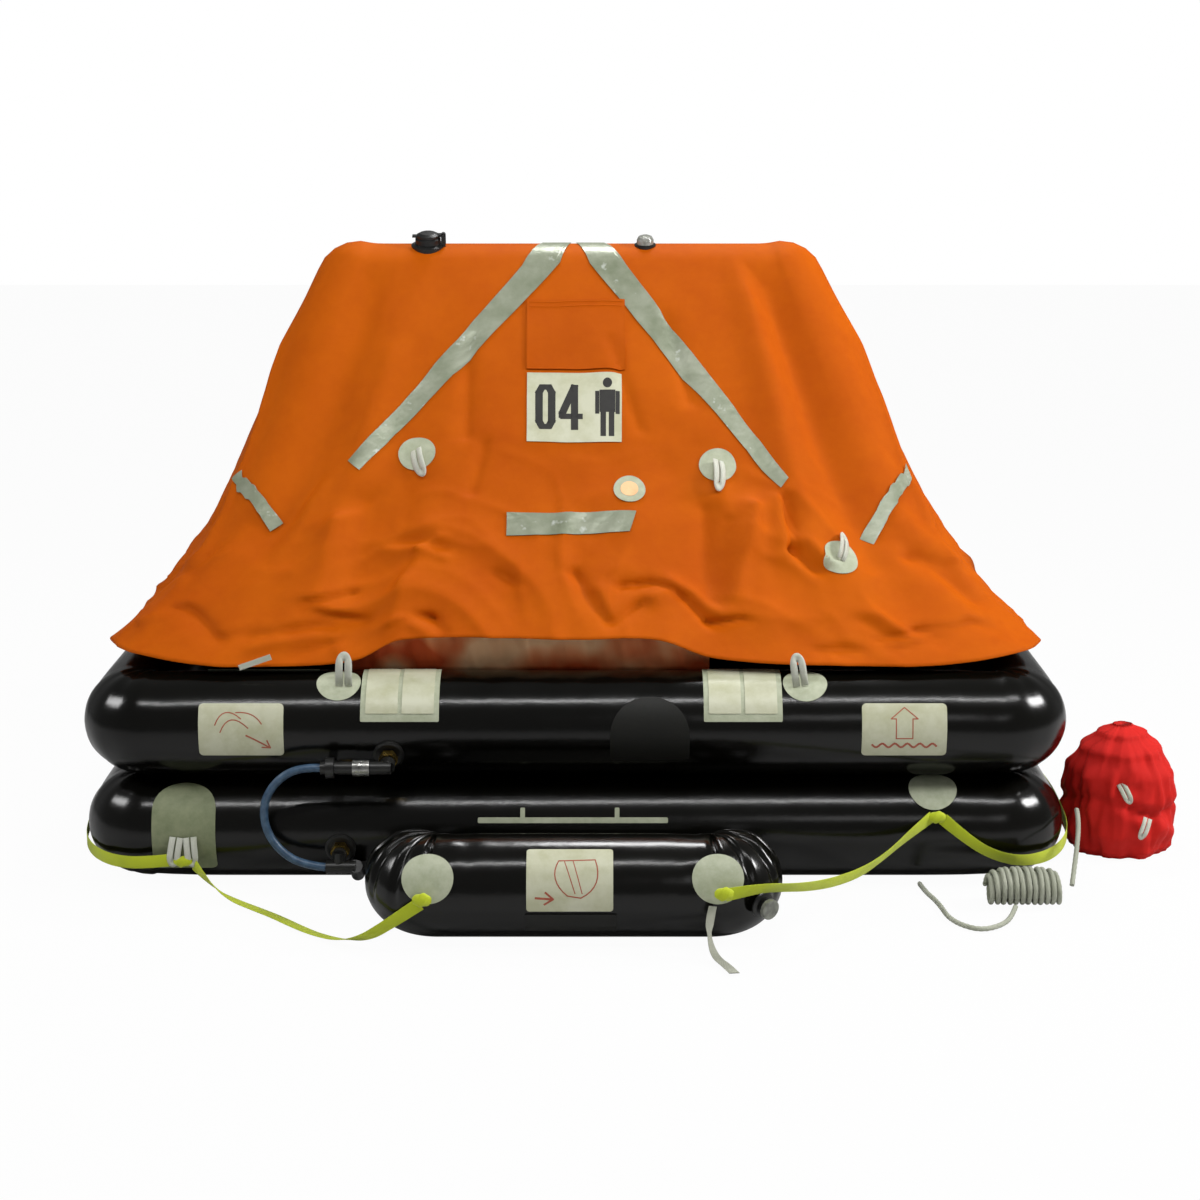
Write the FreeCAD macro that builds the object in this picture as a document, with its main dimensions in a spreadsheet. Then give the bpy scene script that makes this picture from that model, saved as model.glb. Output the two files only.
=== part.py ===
import FreeCAD, Part
import Sketcher
import math
import os
import re

# Inflated four-person canopied liferaft, standing on the ground.
# Frame: +X to the right of the boarding side, +Y away from it, +Z up.
# Origin: centre of the floor sheet's underside, on the ground. Millimetres.

Vector = FreeCAD.Vector
UP = Vector(0, 0, 1)
ACROSS = Vector(1, 0, 0)
BACK = Vector(0, 1, 0)

# ---------------------------------------------------------------- dimensions
DIMENSIONS = [
    ("tube_radius", 103.5, "buoyancy tube"),
    ("tube_half_x", 870, "tube centreline, half length"),
    ("tube_half_y", 611, "tube centreline, half width"),
    ("tube_bend", 40, "tube centreline at the corners"),
    ("tube_pitch", 207.2, "height between the two tube centrelines, with the glue line"),
    ("floor_thickness", 3, "coated floor sheet"),
    ("pocket_recess", 1.5, "room for a folded ballast pocket"),
    ("ramp_radius", 95, "boarding ramp tube"),
    ("ramp_leg_radius", 44, "ramp leg where it runs under the hull"),
    ("ramp_bend", 20, "ramp centreline at the corners"),
    ("ramp_half_x", 295, "ramp leg centreline"),
    ("ramp_reach", 356, "ramp centreline ahead of the lower tube's"),
    ("deck_thickness", 2, "ramp deck sheet"),
    ("arch_radius", 75, "canopy support arch"),
    ("arch_height", 1126, "arch centreline above the ground"),
    ("arch_shoulder_x", 458, "corner of the arch centreline"),
    ("arch_foot_x", 756, "arch centreline at its foot"),
    ("arch_foot_z", 400, "foot height"),
    ("arch_shift", -15, "middle of the arch, to the left of the hull's"),
    ("arch_bend", 20, "shoulder bend"),
    ("cloth", 3, "canopy cloth"),
    ("skin", 1.2, "glued patch"),
    ("glue_gap", 0.2, "clearance under a patch"),
    ("patch_radius", 43, "round loop patch"),
    ("ramp_patch_radius", 47, "round patch on the ramp"),
    ("canopy_patch_radius", 38, "round patch on the canopy"),
    ("label_width", 164, "instruction label"),
    ("label_height", 100, "instruction label, straight across"),
    ("ramp_label_height", 112, "label on the ramp, straight across"),
    ("panel_width", 152, "closure panel"),
    ("panel_height", 136, "closure panel, straight across"),
    ("strip_width", 60, "hook tape strip"),
    ("strip_height", 118, "hook tape strip"),
    ("nut_across", 32, "union nut over flats"),
    ("nut_height", 16, "union nut"),
    ("stem_radius", 11, "inlet valve stem"),
    ("stem_length", 40, "upper inlet valve stem"),
    ("short_stem_length", 27, "lower inlet valve stem"),
    ("nut_clearance", 0.05, "union nut on its stem"),
    ("flange_radius", 30, "valve flange glued to the tube"),
    ("flange_height", 5, "valve flange"),
    ("hose_radius", 8, "inflation hose"),
    ("ferrule_radius", 16, "crimped ferrule"),
    ("ferrule_length", 32, "crimped ferrule"),
    ("sleeve_radius", 12.5, "hose sleeve"),
    ("sleeve_length", 62, "hose sleeve"),
    ("clip_radius", 20, "hose clip ring"),
    ("valve_radius", 27, "arch valve body"),
    ("valve_height", 24, "arch valve body"),
    ("lid_radius", 24, "arch valve lid"),
    ("lid_height", 10, "arch valve lid"),
    ("lamp_radius", 18, "canopy lamp dome"),
    ("lamp_height", 22, "canopy lamp dome"),
    ("cap_radius", 19, "ramp valve cap"),
    ("cap_height", 9, "ramp valve cap"),
    ("cap_stem_radius", 12, "ramp valve neck"),
    ("cap_stem_height", 20, "ramp valve neck"),
    ("bottle_radius", 52, "gas cylinder"),
    ("bottle_length", 400, "gas cylinder"),
    ("rope_radius", 5, "drogue line"),
    ("line_radius", 5, "grab line, as a plain tube"),
]

doc = FreeCAD.newDocument("liferaft")
sheet = doc.addObject("Spreadsheet::Sheet", "Dimensions")
for row, (alias, number, note) in enumerate(DIMENSIONS, start=1):
    sheet.set("A%d" % row, alias)
    sheet.set("B%d" % row, str(number))
    sheet.set("C%d" % row, note)
    sheet.setAlias("B%d" % row, alias)
doc.recompute()
size = {alias: float(sheet.get(alias)) for alias, number, note in DIMENSIONS}

lower_z = size["tube_radius"]
upper_z = lower_z + size["tube_pitch"]
ramp_y = -size["tube_half_y"] - size["ramp_reach"]
ramp_z = size["ramp_radius"]
front_y = -size["tube_half_y"]

nodes = []


# ------------------------------------------------------------------- helpers
def keep(item, label):
    """Name a finished sub-part and put it on the list of nodes."""
    item.Label = label
    nodes.append(item)
    return item


def formula(text):
    """Write a formula's dimension names the way the document knows them."""
    def qualified(match):
        word = match.group(0)
        return "Dimensions." + word if word in size else word
    return re.sub(r"[a-z_]{3,}", qualified, text)


def bind(item, **formulas):
    for name, text in formulas.items():
        item.setExpression(name, formula(text))
    return item


def primitive(kind, name, placement=None, **formulas):
    item = doc.addObject("Part::" + kind, name)
    bind(item, **formulas)
    if placement:
        item.Placement = placement
    return item


def solid(name, shape):
    """A Part::Feature for a form that no primitive or sketch gives."""
    item = doc.addObject("Part::Feature", name)
    item.Shape = shape
    return item


def cut(name, base, tool):
    item = doc.addObject("Part::Cut", name)
    item.Base = base
    item.Tool = tool
    return item


def common(name, base, tool):
    item = doc.addObject("Part::Common", name)
    item.Base = base
    item.Tool = tool
    return item


def fused(name, items):
    item = doc.addObject("Part::MultiFuse", name)
    item.Shapes = items
    return item


def group(name, items):
    item = doc.addObject("Part::Compound", name)
    item.Links = items
    return item


def copy_of(item, name, placement):
    """A second, identical piece at another place."""
    twin = doc.addObject("Part::Feature", name)
    twin.Shape = item.Shape.copy()
    twin.Placement = placement
    return twin


def facing(point, normal, upward=UP):
    """Placement at point with local Z along normal and local Y close to upward."""
    z_dir = Vector(normal).normalize()
    x_dir = Vector(upward).cross(z_dir).normalize()
    y_dir = z_dir.cross(x_dir)
    return FreeCAD.Placement(point, FreeCAD.Rotation(x_dir, y_dir, z_dir, "ZXY"))


def outline(body, plane_role, corners):
    """A closed polygon sketch whose corners are formulas of the sheet."""
    sketch = body.newObject("Sketcher::SketchObject", body.Name + "_outline")
    plane = [item for item in body.Origin.OriginFeatures if item.Role == plane_role][0]
    sketch.AttachmentSupport = [(plane, "")]
    sketch.MapMode = "FlatFace"
    count = len(corners)
    rough = [Vector(10 * index, index * index, 0) for index in range(count)]
    for index in range(count):
        line = Part.LineSegment(rough[index], rough[(index + 1) % count])
        sketch.addGeometry(line, False)
    for index in range(count):
        link = Sketcher.Constraint("Coincident", index, 2, (index + 1) % count, 1)
        sketch.addConstraint(link)
    for index, corner in enumerate(corners):
        for kind, rough_value, text in (
            ("DistanceX", rough[index].x, corner[0]),
            ("DistanceY", rough[index].y, corner[1]),
        ):
            place = sketch.addConstraint(Sketcher.Constraint(kind, -1, 1, index, 1, rough_value))
            sketch.renameConstraint(place, "%s_%d" % (kind, index))
            sketch.setExpression("Constraints.%s_%d" % (kind, index), formula(text))
    return sketch


def turned(label, corners, placement):
    """A PartDesign body turned about its own Z axis: corners are (radius, height)."""
    body = doc.addObject("PartDesign::Body", label)
    sketch = outline(body, "XZ_Plane", corners)
    revolution = body.newObject("PartDesign::Revolution", label + "_turn")
    revolution.Profile = (sketch, [""])
    revolution.ReferenceAxis = (sketch, ["V_Axis"])
    revolution.Angle = 360
    body.Tip = revolution
    body.Placement = placement
    return body


# ------------------------------------------------------------- inflated tubes
def straight_tube(start, end, radius):
    along = end - start
    return Part.makeCylinder(radius, along.Length, start, along)


def corner_tube(bend, radius, turn=90, count=3):
    """A bend about Z cut from straight gores that meet on mitre planes through the origin."""
    reach = 3 * radius
    step = turn / count
    gores = []
    for index in range(count + 1):
        facing_angle = index * step
        first, last = max(0, facing_angle - step / 2), min(turn, facing_angle + step / 2)
        gore = Part.makeCylinder(radius, 2 * reach, Vector(bend, -reach, 0), BACK)
        gore.rotate(Vector(0, 0, 0), UP, facing_angle)
        rim = [Vector(reach * math.cos(math.radians(angle)), reach * math.sin(math.radians(angle)), -radius - 1)
               for angle in (first, last)]
        corner = Vector(0, 0, -radius - 1)
        wedge = Part.Face(Part.makePolygon([corner, rim[0], rim[1], corner]))
        gores.append(gore.common(wedge.extrude(UP * (2 * radius + 2))))
    return gores[0].fuse(gores[1:])


def set_at(shape, pivot, angle):
    """The shape turned about Z and moved to pivot."""
    shape.rotate(Vector(0, 0, 0), UP, angle)
    shape.translate(pivot)
    return shape


def ring_shape(radius, height):
    """The rectangular buoyancy tube: four straights and four tight corners."""
    half_x, half_y, bend = size["tube_half_x"], size["tube_half_y"], size["tube_bend"]
    inner_x, inner_y = half_x - bend, half_y - bend
    pieces = []
    for side in (-1, 1):
        pieces.append(straight_tube(
            Vector(-inner_x, side * half_y, height), Vector(inner_x, side * half_y, height), radius))
        pieces.append(straight_tube(
            Vector(side * half_x, -inner_y, height), Vector(side * half_x, inner_y, height), radius))
    for x_side, y_side, angle in ((1, 1, 0), (-1, 1, 90), (-1, -1, 180), (1, -1, 270)):
        pivot = Vector(x_side * inner_x, y_side * inner_y, height)
        pieces.append(set_at(corner_tube(bend, radius), pivot, angle))
    return pieces[0].fuse(pieces[1:]).removeSplitter()


def ramp_pivot(side):
    """Point that a corner of the ramp turns about."""
    return Vector(side * (size["ramp_half_x"] - size["ramp_bend"]), ramp_y + size["ramp_bend"], ramp_z)


def ramp_shape(radius):
    """The U-shaped boarding tube: its legs lie on the ground and narrow towards the hull."""
    leg_radius = size["ramp_leg_radius"] + radius - size["ramp_radius"]
    pieces = [straight_tube(ramp_pivot(-1) - BACK * size["ramp_bend"], ramp_pivot(1) - BACK * size["ramp_bend"], radius)]
    for side, angle in ((-1, 180), (1, 270)):
        start = ramp_pivot(side) + ACROSS * side * size["ramp_bend"]
        end = Vector(start.x, front_y, size["ramp_leg_radius"])
        rims = [Part.Wire(Part.Circle(point, BACK, reach).toShape())
                for point, reach in ((start, radius), (end, leg_radius))]
        pieces.append(Part.makeLoft(rims, True, True))
        pieces.append(set_at(corner_tube(size["ramp_bend"], radius), ramp_pivot(side), angle))
    return pieces[0].fuse(pieces[1:]).removeSplitter()


tube_radius = size["tube_radius"]
lower_full = ring_shape(tube_radius, lower_z)
upper_full = ring_shape(tube_radius, upper_z)
keep(solid("lower_tube", lower_full), "lower_tube")
keep(solid("upper_tube", upper_full), "upper_tube")
keep(solid("ramp_tube", ramp_shape(size["ramp_radius"]).cut(lower_full)), "ramp_tube")


# ------------------------------------------------------------------- floor
def floor_sheet():
    """The floor closes the lower tube; four shallow recesses take the ballast pockets."""
    half_x, half_y = size["tube_half_x"], size["tube_half_y"]
    thickness, recess = size["floor_thickness"], size["pocket_recess"]
    plate = Part.makeBox(2 * half_x, 2 * half_y, thickness, Vector(-half_x, -half_y, 0))
    plate = max(plate.cut(lower_full).Solids, key=lambda part: part.Volume)
    pads = []
    for x_side in (-1, 1):
        for y_side in (-1, 1):
            corner = Vector(x_side * 0.55 * half_x - 150, y_side * 0.5 * half_y - 100, 0)
            plate = plate.cut(Part.makeBox(300, 200, recess, corner))
            gap = Vector(1, 1, 0)
            pads.append(Part.makeBox(298, 198, recess - 0.3, corner + gap))
    return plate, Part.makeCompound(pads)


floor_plate, pocket_pads = floor_sheet()
keep(solid("floor_sheet", floor_plate), "floor_sheet")
keep(solid("ballast_pockets", pocket_pads), "ballast_pockets")

deck_half = size["ramp_half_x"]
deck_plate = Part.makeBox(2 * deck_half, size["ramp_reach"], size["deck_thickness"],
                          Vector(-deck_half, ramp_y, ramp_z))
deck_plate = deck_plate.cut(ramp_shape(size["ramp_radius"])).cut(lower_full)
deck_plate = max(deck_plate.Solids, key=lambda part: part.Volume)
keep(solid("ramp_deck", deck_plate), "ramp_deck")


# -------------------------------------------------------------------- arch
arch_corner = Vector(size["arch_shoulder_x"], 0, size["arch_height"])
arch_foot = Vector(size["arch_foot_x"], 0, size["arch_foot_z"])
leg_direction = (arch_foot - arch_corner).normalize()
shoulder_turn = math.acos(leg_direction.x)
shoulder_cut = size["arch_bend"] * math.tan(shoulder_turn / 2)
top_half = size["arch_shoulder_x"] - shoulder_cut
shoulder_arc = size["arch_bend"] * shoulder_turn
leg_length = (arch_foot - arch_corner).Length - shoulder_cut
arch_half = top_half + shoulder_arc + leg_length


def arch_frame(share):
    """Point on the arch centreline and its outward direction; share runs -1 to 1."""
    side = -1 if share < 0 else 1
    distance = abs(share) * arch_half
    if distance <= top_half:
        point, tilt = Vector(distance, 0, size["arch_height"]), 0
    elif distance <= top_half + shoulder_arc:
        tilt = (distance - top_half) / size["arch_bend"]
        point = Vector(top_half + size["arch_bend"] * math.sin(tilt), 0,
                       size["arch_height"] - size["arch_bend"] * (1 - math.cos(tilt)))
    else:
        tilt = shoulder_turn
        past = distance - top_half - shoulder_arc
        start = arch_corner + leg_direction * shoulder_cut
        point = start + leg_direction * past
    outward = Vector(side * math.sin(tilt), 0, math.cos(tilt))
    return Vector(side * point.x + size["arch_shift"], 0, point.z), outward


def arch_run(radius, start_share, end_share):
    """A straight length of the arch between two shares."""
    return straight_tube(arch_frame(start_share)[0], arch_frame(end_share)[0], radius)


def arch_shoulder(radius, side):
    """The gored corner of the arch, stood upright at its shoulder."""
    corner = corner_tube(size["arch_bend"], radius, math.degrees(shoulder_turn), 2)
    corner.rotate(Vector(0, 0, 0), ACROSS, 90)
    corner.rotate(Vector(0, 0, 0), BACK, math.degrees(shoulder_turn) - 90)
    if side < 0:
        corner = corner.mirror(Vector(0, 0, 0), ACROSS)
    corner.translate(Vector(side * top_half + size["arch_shift"], 0, size["arch_height"] - size["arch_bend"]))
    return corner


def arch_shape(radius):
    """The inflated arch: a level top, two gored shoulders and two straight legs."""
    top_share, leg_share = top_half / arch_half, (top_half + shoulder_arc) / arch_half
    pieces = [arch_run(radius, -top_share, top_share)]
    for side in (-1, 1):
        pieces.append(arch_run(radius, side * leg_share, side))
        pieces.append(arch_shoulder(radius, side))
    return pieces[0].fuse(pieces[1:])


arch_solid = arch_shape(size["arch_radius"]).cut(upper_full)
arch_solid = max(arch_solid.Solids, key=lambda part: part.Volume)
keep(solid("arch_tube", arch_solid), "arch_tube")

collar_share = 0.90
collars = []
for side in (-1, 1):
    ends = (side * collar_share, side * 0.99)
    cuff = arch_run(size["arch_radius"] + 1.5, *ends).cut(arch_shape(size["arch_radius"] + 0.2))
    cuff = cuff.cut(upper_full)
    collars.append(max(cuff.Solids, key=lambda part: part.Volume))
keep(solid("arch_foot_collars", Part.makeCompound(collars)), "arch_foot_collars")


# ------------------------------------------------------------------ canopy
# The hem of each half, from the middle of the boarding side (or the far side)
# round to the middle of each end: share along the cloth, then x, y, z.
HEM_RIGHT = [
    (0.00, 0, -622, 481),
    (0.08, 160, -622, 480),
    (0.13, 270, -632, 446),
    (0.24, 520, -636, 432),
    (0.32, 720, -636, 432),
    (0.385, 876, -588, 448),
    (0.45, 932, -480, 450),
    (0.56, 930, -340, 428),
    (1.00, 905, 0, 424),
]
HEM_LEFT = [
    (0.00, 0, -622, 481),
    (0.155, -338, -622, 480),
    (0.20, -433, -632, 440),
    (0.27, -600, -636, 430),
    (0.33, -745, -636, 434),
    (0.385, -876, -592, 450),
    (0.45, -930, -480, 452),
    (0.56, -930, -340, 428),
    (1.00, -905, 0, 424),
]
HEM_REAR = [
    (0.00, 0, 632, 436),
    (0.32, 720, 634, 432),
    (0.385, 862, 590, 440),
    (0.45, 926, 480, 440),
    (0.56, 930, 340, 426),
    (1.00, 905, 0, 424),
]

# Folds of the cloth: start share and drop, end share and drop, half width, height.
# Share runs across the cloth, drop from the ridge (0) to the hem (1).
FRONT_FOLDS = [
    (-0.385, 0.04, -0.392, 0.86, 20, 20),
    (0.385, 0.04, 0.392, 0.80, 20, 24),
    (-0.325, 0.10, -0.330, 0.84, 40, -24),
    (0.330, 0.10, 0.325, 0.88, 34, -30),
    (-0.25, 0.30, -0.265, 0.98, 28, 16),
    (0.275, 0.10, 0.255, 0.78, 26, 16),
    (0.175, 0.62, 0.165, 0.90, 20, 14),
    (0.20, 0.66, 0.185, 0.96, 18, 10),
    (-0.29, 0.60, -0.335, 0.92, 24, 16),
    (0.40, 0.66, 0.47, 0.95, 26, -20),
    (-0.41, 0.62, -0.46, 0.95, 26, -18),
    (0.42, 0.55, 0.43, 0.98, 26, 16),
    (-0.42, 0.55, -0.43, 0.98, 26, 14),
    (-0.05, 0.72, -0.02, 0.98, 34, 7),
]
REAR_FOLDS = [
    (-0.385, 0.04, -0.392, 0.90, 22, 18),
    (0.385, 0.04, 0.392, 0.90, 22, 18),
    (-0.12, 0.50, -0.13, 1.00, 60, 10),
    (0.16, 0.50, 0.17, 1.00, 60, 10),
]
CLOTH_LENGTH = 950
WRAP_SHARE = 0.10
HIP_END = 0.46
SHOULDER_PUSH = 8
shoulder_share = (top_half + shoulder_arc / 2) / arch_half
cabin_middle = Vector(0, 0, 420)


def along_hem(hem, share):
    """Point of a hem at a share, by a smooth curve through its listed points."""
    last = len(hem) - 2
    index = min(last, max(0, sum(1 for row in hem[1:] if row[0] < share)))
    before = hem[max(0, index - 1)]
    start, end = hem[index], hem[index + 1]
    after = hem[min(len(hem) - 1, index + 2)]
    span = end[0] - start[0]
    part = (share - start[0]) / span
    result = []
    for axis in (1, 2, 3):
        slope_in = (end[axis] - before[axis]) / max(end[0] - before[0], 1e-6) * span
        slope_out = (after[axis] - start[axis]) / max(after[0] - start[0], 1e-6) * span
        square, cube = part ** 2, part ** 3
        result.append((2 * cube - 3 * square + 1) * start[axis] + (cube - 2 * square + part) * slope_in
                      + (3 * square - 2 * cube) * end[axis] + (cube - square) * slope_out)
    return Vector(*result)


def fold_height(folds, share, drop):
    """Sum of the folds at a spot: each is a rounded ridge along a line."""
    total = 0
    for share_a, drop_a, share_b, drop_b, width, height in folds:
        ax, ay = share_a * arch_half, drop_a * CLOTH_LENGTH
        bx, by = share_b * arch_half, drop_b * CLOTH_LENGTH
        px, py = share * arch_half, drop * CLOTH_LENGTH
        length = math.hypot(bx - ax, by - ay)
        along = ((px - ax) * (bx - ax) + (py - ay) * (by - ay)) / length ** 2
        aside = ((px - ax) * (by - ay) - (py - ay) * (bx - ax)) / length
        fade = 1 / (1 + math.exp(-14 * along)) / (1 + math.exp(14 * (along - 1.05)))
        total += height * fade * math.exp(-(aside / width) ** 2)
    return total


def canopy_point(share, drop, front=True, lift=0):
    """Outer face of the canopy: share across (-1 to 1), drop from ridge to hem (0 to 1)."""
    toward = -1 if front else 1
    if front:
        hem = along_hem(HEM_LEFT if share < 0 else HEM_RIGHT, abs(share))
    else:
        hem = along_hem(HEM_REAR, abs(share))
        hem.x = math.copysign(hem.x, share) if share else hem.x
    centre, outward = arch_frame(share)
    away = Vector(0, toward, 0)
    reach = hem - centre
    slope = math.atan2(-reach.dot(outward), reach.dot(away)) if reach.dot(away) > 1 else -1
    radius = size["arch_radius"] + size["cloth"] + 3 + lift
    wrap = max(0.0, slope + math.asin(min(1.0, radius / reach.Length)))
    wrapped = WRAP_SHARE * min(1.0, wrap / 0.6)
    turn = wrap if drop >= wrapped else wrap * drop / wrapped
    settle = max(0.0, (drop - wrapped) / (1 - wrapped))
    start = centre + outward * (radius * math.cos(turn)) + away * (radius * math.sin(turn))
    straight = (hem - start) * settle
    point = start + straight
    inward = (cabin_middle - point).normalize()
    sag = 6 * settle ** 2 * (1 - settle) * (26 + 44 * math.exp(-((abs(share) - 0.41) / 0.12) ** 2))
    sag *= min(1.0, (1 - abs(share)) / 0.3)
    sag -= SHOULDER_PUSH * math.exp(-((abs(share) - shoulder_share) / 0.022) ** 2) * (1 - settle) ** 6
    folds = fold_height(FRONT_FOLDS if front else REAR_FOLDS, share, drop)
    edge = min(1.0, (1 - abs(share)) / 0.15) * min(1.0, drop / 0.2) * (1 - 0.45 * drop ** 4)
    room = math.hypot(radius, straight.Length) - radius
    return point + inward * min(room, sag - folds * edge) - inward * lift * settle + away * 0.2


def steps(start, end, count):
    return [start + (end - start) * index / count for index in range(count + 1)]


def cloth_sheet(point_at, u_values, v_values, thickness):
    """A faceted sheet of even thickness whose outer face is point_at(u, v)."""
    outer, inner = {}, {}
    for i, u in enumerate(u_values):
        for j, v in enumerate(v_values):
            point = point_at(u, v)
            across = point_at(u + 0.004, v) - point_at(u - 0.004, v)
            down = point_at(u, v + 0.004) - point_at(u, v - 0.004)
            normal = across.cross(down).normalize()
            if normal.dot(cabin_middle - point) > 0:
                normal = normal * -1
            outer[i, j] = point
            inner[i, j] = point - normal * thickness
    last_i, last_j = len(u_values) - 1, len(v_values) - 1
    quads = []
    for i in range(last_i):
        for j in range(last_j):
            for side in (outer, inner):
                quads.append((side[i, j], side[i + 1, j], side[i + 1, j + 1], side[i, j + 1]))
    for i in range(last_i):
        for j in (0, last_j):
            quads.append((outer[i, j], outer[i + 1, j], inner[i + 1, j], inner[i, j]))
    for j in range(last_j):
        for i in (0, last_i):
            quads.append((outer[i, j], outer[i, j + 1], inner[i, j + 1], inner[i, j]))
    facets = []
    for p, q, r, s in quads:
        for corners in ((p, q, r, p), (p, r, s, p)):
            facets.append(Part.Face(Part.makePolygon(corners)))
    shell = Part.makeShell(facets)
    shell.sewShape()
    result = Part.makeSolid(shell)
    if result.Volume < 0:
        result.reverse()
    return result


def canopy_half(front):
    def spot(share, drop):
        return canopy_point(max(-1, min(1, share)), max(0, min(1, drop)), front)
    top, corner, hip, end, down = (15, 4, 5, 7, 17) if front else (6, 4, 4, 5, 8)
    top_share, leg_share = top_half / arch_half, (top_half + shoulder_arc) / arch_half
    right = steps(0, top_share, top)[1:] + steps(top_share, leg_share, corner)[1:]
    right += steps(leg_share, HIP_END, hip)[1:] + steps(HIP_END, 1, end)[1:]
    shares = [-share for share in reversed(right)] + [0] + right
    drops = steps(0, WRAP_SHARE, 3)[:-1] + steps(WRAP_SHARE, 1, down)
    return cloth_sheet(spot, shares, drops, size["cloth"])


keep(solid("canopy_front", canopy_half(True)), "canopy_front")
keep(solid("canopy_rear", canopy_half(False)), "canopy_rear")


# ------------------------------------------------------ patches on the tubes
LOWER = (lower_z, size["tube_radius"], front_y)
UPPER = (upper_z, size["tube_radius"], front_y)
RAMP = (ramp_z, size["ramp_radius"], ramp_y)
layer = size["skin"] + size["glue_gap"]


def layer_over(make_shape, radius, height=None):
    """The thin space just outside a tube, where its patches lie."""
    extra = () if height is None else (height,)
    outside = make_shape(radius + layer, *extra)
    inside = make_shape(radius + size["glue_gap"], *extra)
    return outside.cut(inside)


layers = {
    LOWER: solid("lower_layer", layer_over(ring_shape, size["tube_radius"], lower_z)),
    UPPER: solid("upper_layer", layer_over(ring_shape, size["tube_radius"], upper_z)),
    RAMP: solid("ramp_layer", layer_over(ramp_shape, size["ramp_radius"])),
}
panel_layer = solid("panel_layer", layer_over(ring_shape, size["tube_radius"] + layer, upper_z))


def tube_spot(tube, x, angle, lift=0.0):
    """Placement on the boarding side of a tube: Z out of it, Y up along it."""
    height, radius, axis_y = tube
    tilt = math.radians(angle)
    point = Vector(x, axis_y - (radius + lift) * math.cos(tilt), height + (radius + lift) * math.sin(tilt))
    return FreeCAD.Placement(point, FreeCAD.Rotation(ACROSS, 90 - angle))


def sunk(placement, depth):
    """The same placement, moved back along its own Z."""
    return placement.multiply(FreeCAD.Placement(Vector(0, 0, -depth), FreeCAD.Rotation()))


CUTTER_DEPTH = 70
CUTTER_SUNK = 45


def disc_on(tube, name, radius_name, x, angle):
    cutter = primitive("Cylinder", name + "_cutter", sunk(tube_spot(tube, x, angle), CUTTER_SUNK),
                       Radius=radius_name, Height=str(CUTTER_DEPTH))
    return common(name, cutter, layers[tube])


def rounded_face(width, height, corner, domed=False):
    """A rectangle about the origin, square or with rounded corners, or with a round top."""
    half_w, half_h = width / 2, height / 2
    top = half_w if domed else corner
    corners = [(-half_w, -half_h, corner), (half_w, -half_h, corner), (half_w, half_h, top), (-half_w, half_h, top)]
    edges = []
    ends = []
    if not corner and not domed:
        rim = [Vector(x, y, 0) for x, y, radius in corners]
        return Part.Face(Part.makePolygon(rim + rim[:1]))
    for x, y, radius in corners:
        sx, sy = math.copysign(1, x), math.copysign(1, y)
        first = Vector(x, y - sy * radius, 0)
        second = Vector(x - sx * radius, y, 0)
        slack = radius * (1 - math.sqrt(0.5))
        middle = Vector(x - sx * slack, y - sy * slack, 0)
        if sx * sy > 0:
            ends.append((first, middle, second))
        else:
            ends.append((second, middle, first))
    for index, (start, middle, end) in enumerate(ends):
        before = ends[index - 1][2]
        if (before - start).Length > 1e-6:
            edges.append(Part.LineSegment(before, start).toShape())
        edges.append(Part.Arc(start, middle, end).toShape())
    return Part.Face(Part.Wire(Part.__sortEdges__(edges)))


def plate_on(tube, name, face, x, angle, over=None):
    cutter = solid(name + "_cutter", face.extrude(UP * CUTTER_DEPTH))
    cutter.Placement = sunk(tube_spot(tube, x, angle), CUTTER_SUNK)
    return common(name, cutter, over or layers[tube])


hull_patches = [
    disc_on(UPPER, "patch_upper_left", "patch_radius", -459, 62),
    disc_on(UPPER, "patch_upper_right", "patch_radius", 447, 61),
    disc_on(LOWER, "patch_lower_right", "ramp_patch_radius", 700, 57),
]
ramp_patches = [
    disc_on(RAMP, "patch_ramp_left", "ramp_patch_radius", -263, 26),
    disc_on(RAMP, "patch_ramp_right", "ramp_patch_radius", 262, 26),
]
keep(group("ramp_patches", ramp_patches), "ramp_patches")


def side_patch(side):
    """A round patch half way down the end of the lower tube, for the grab line."""
    spot = facing(Vector(side * (size["tube_half_x"] + size["tube_radius"]), -290, lower_z), Vector(side, 0, 0))
    cutter = primitive("Cylinder", "side_patch_cutter", sunk(spot, CUTTER_SUNK),
                       Radius="patch_radius", Height=str(CUTTER_DEPTH))
    return common("side_patch", cutter, layers[LOWER])


hull_patches += [side_patch(-1), side_patch(1)]
keep(group("hull_patches", hull_patches), "hull_patches")

tongue = rounded_face(124, 160, 14, domed=True)
keep(plate_on(LOWER, "tongue_patch", tongue, -762, 13), "tongue_patch")

panel = rounded_face(size["panel_width"], size["panel_height"], 0)
panel_places = (-338, 325)
panels = [plate_on(UPPER, "panel", panel, x, 56) for x in panel_places]
keep(group("closure_panels", panels), "closure_panels")
strip = rounded_face(size["strip_width"], size["strip_height"], 0)
strips = [plate_on(UPPER, "strip", strip, x + side * 35, 58, panel_layer) for x in panel_places for side in (-1, 1)]
keep(group("closure_strips", strips), "closure_strips")

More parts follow.
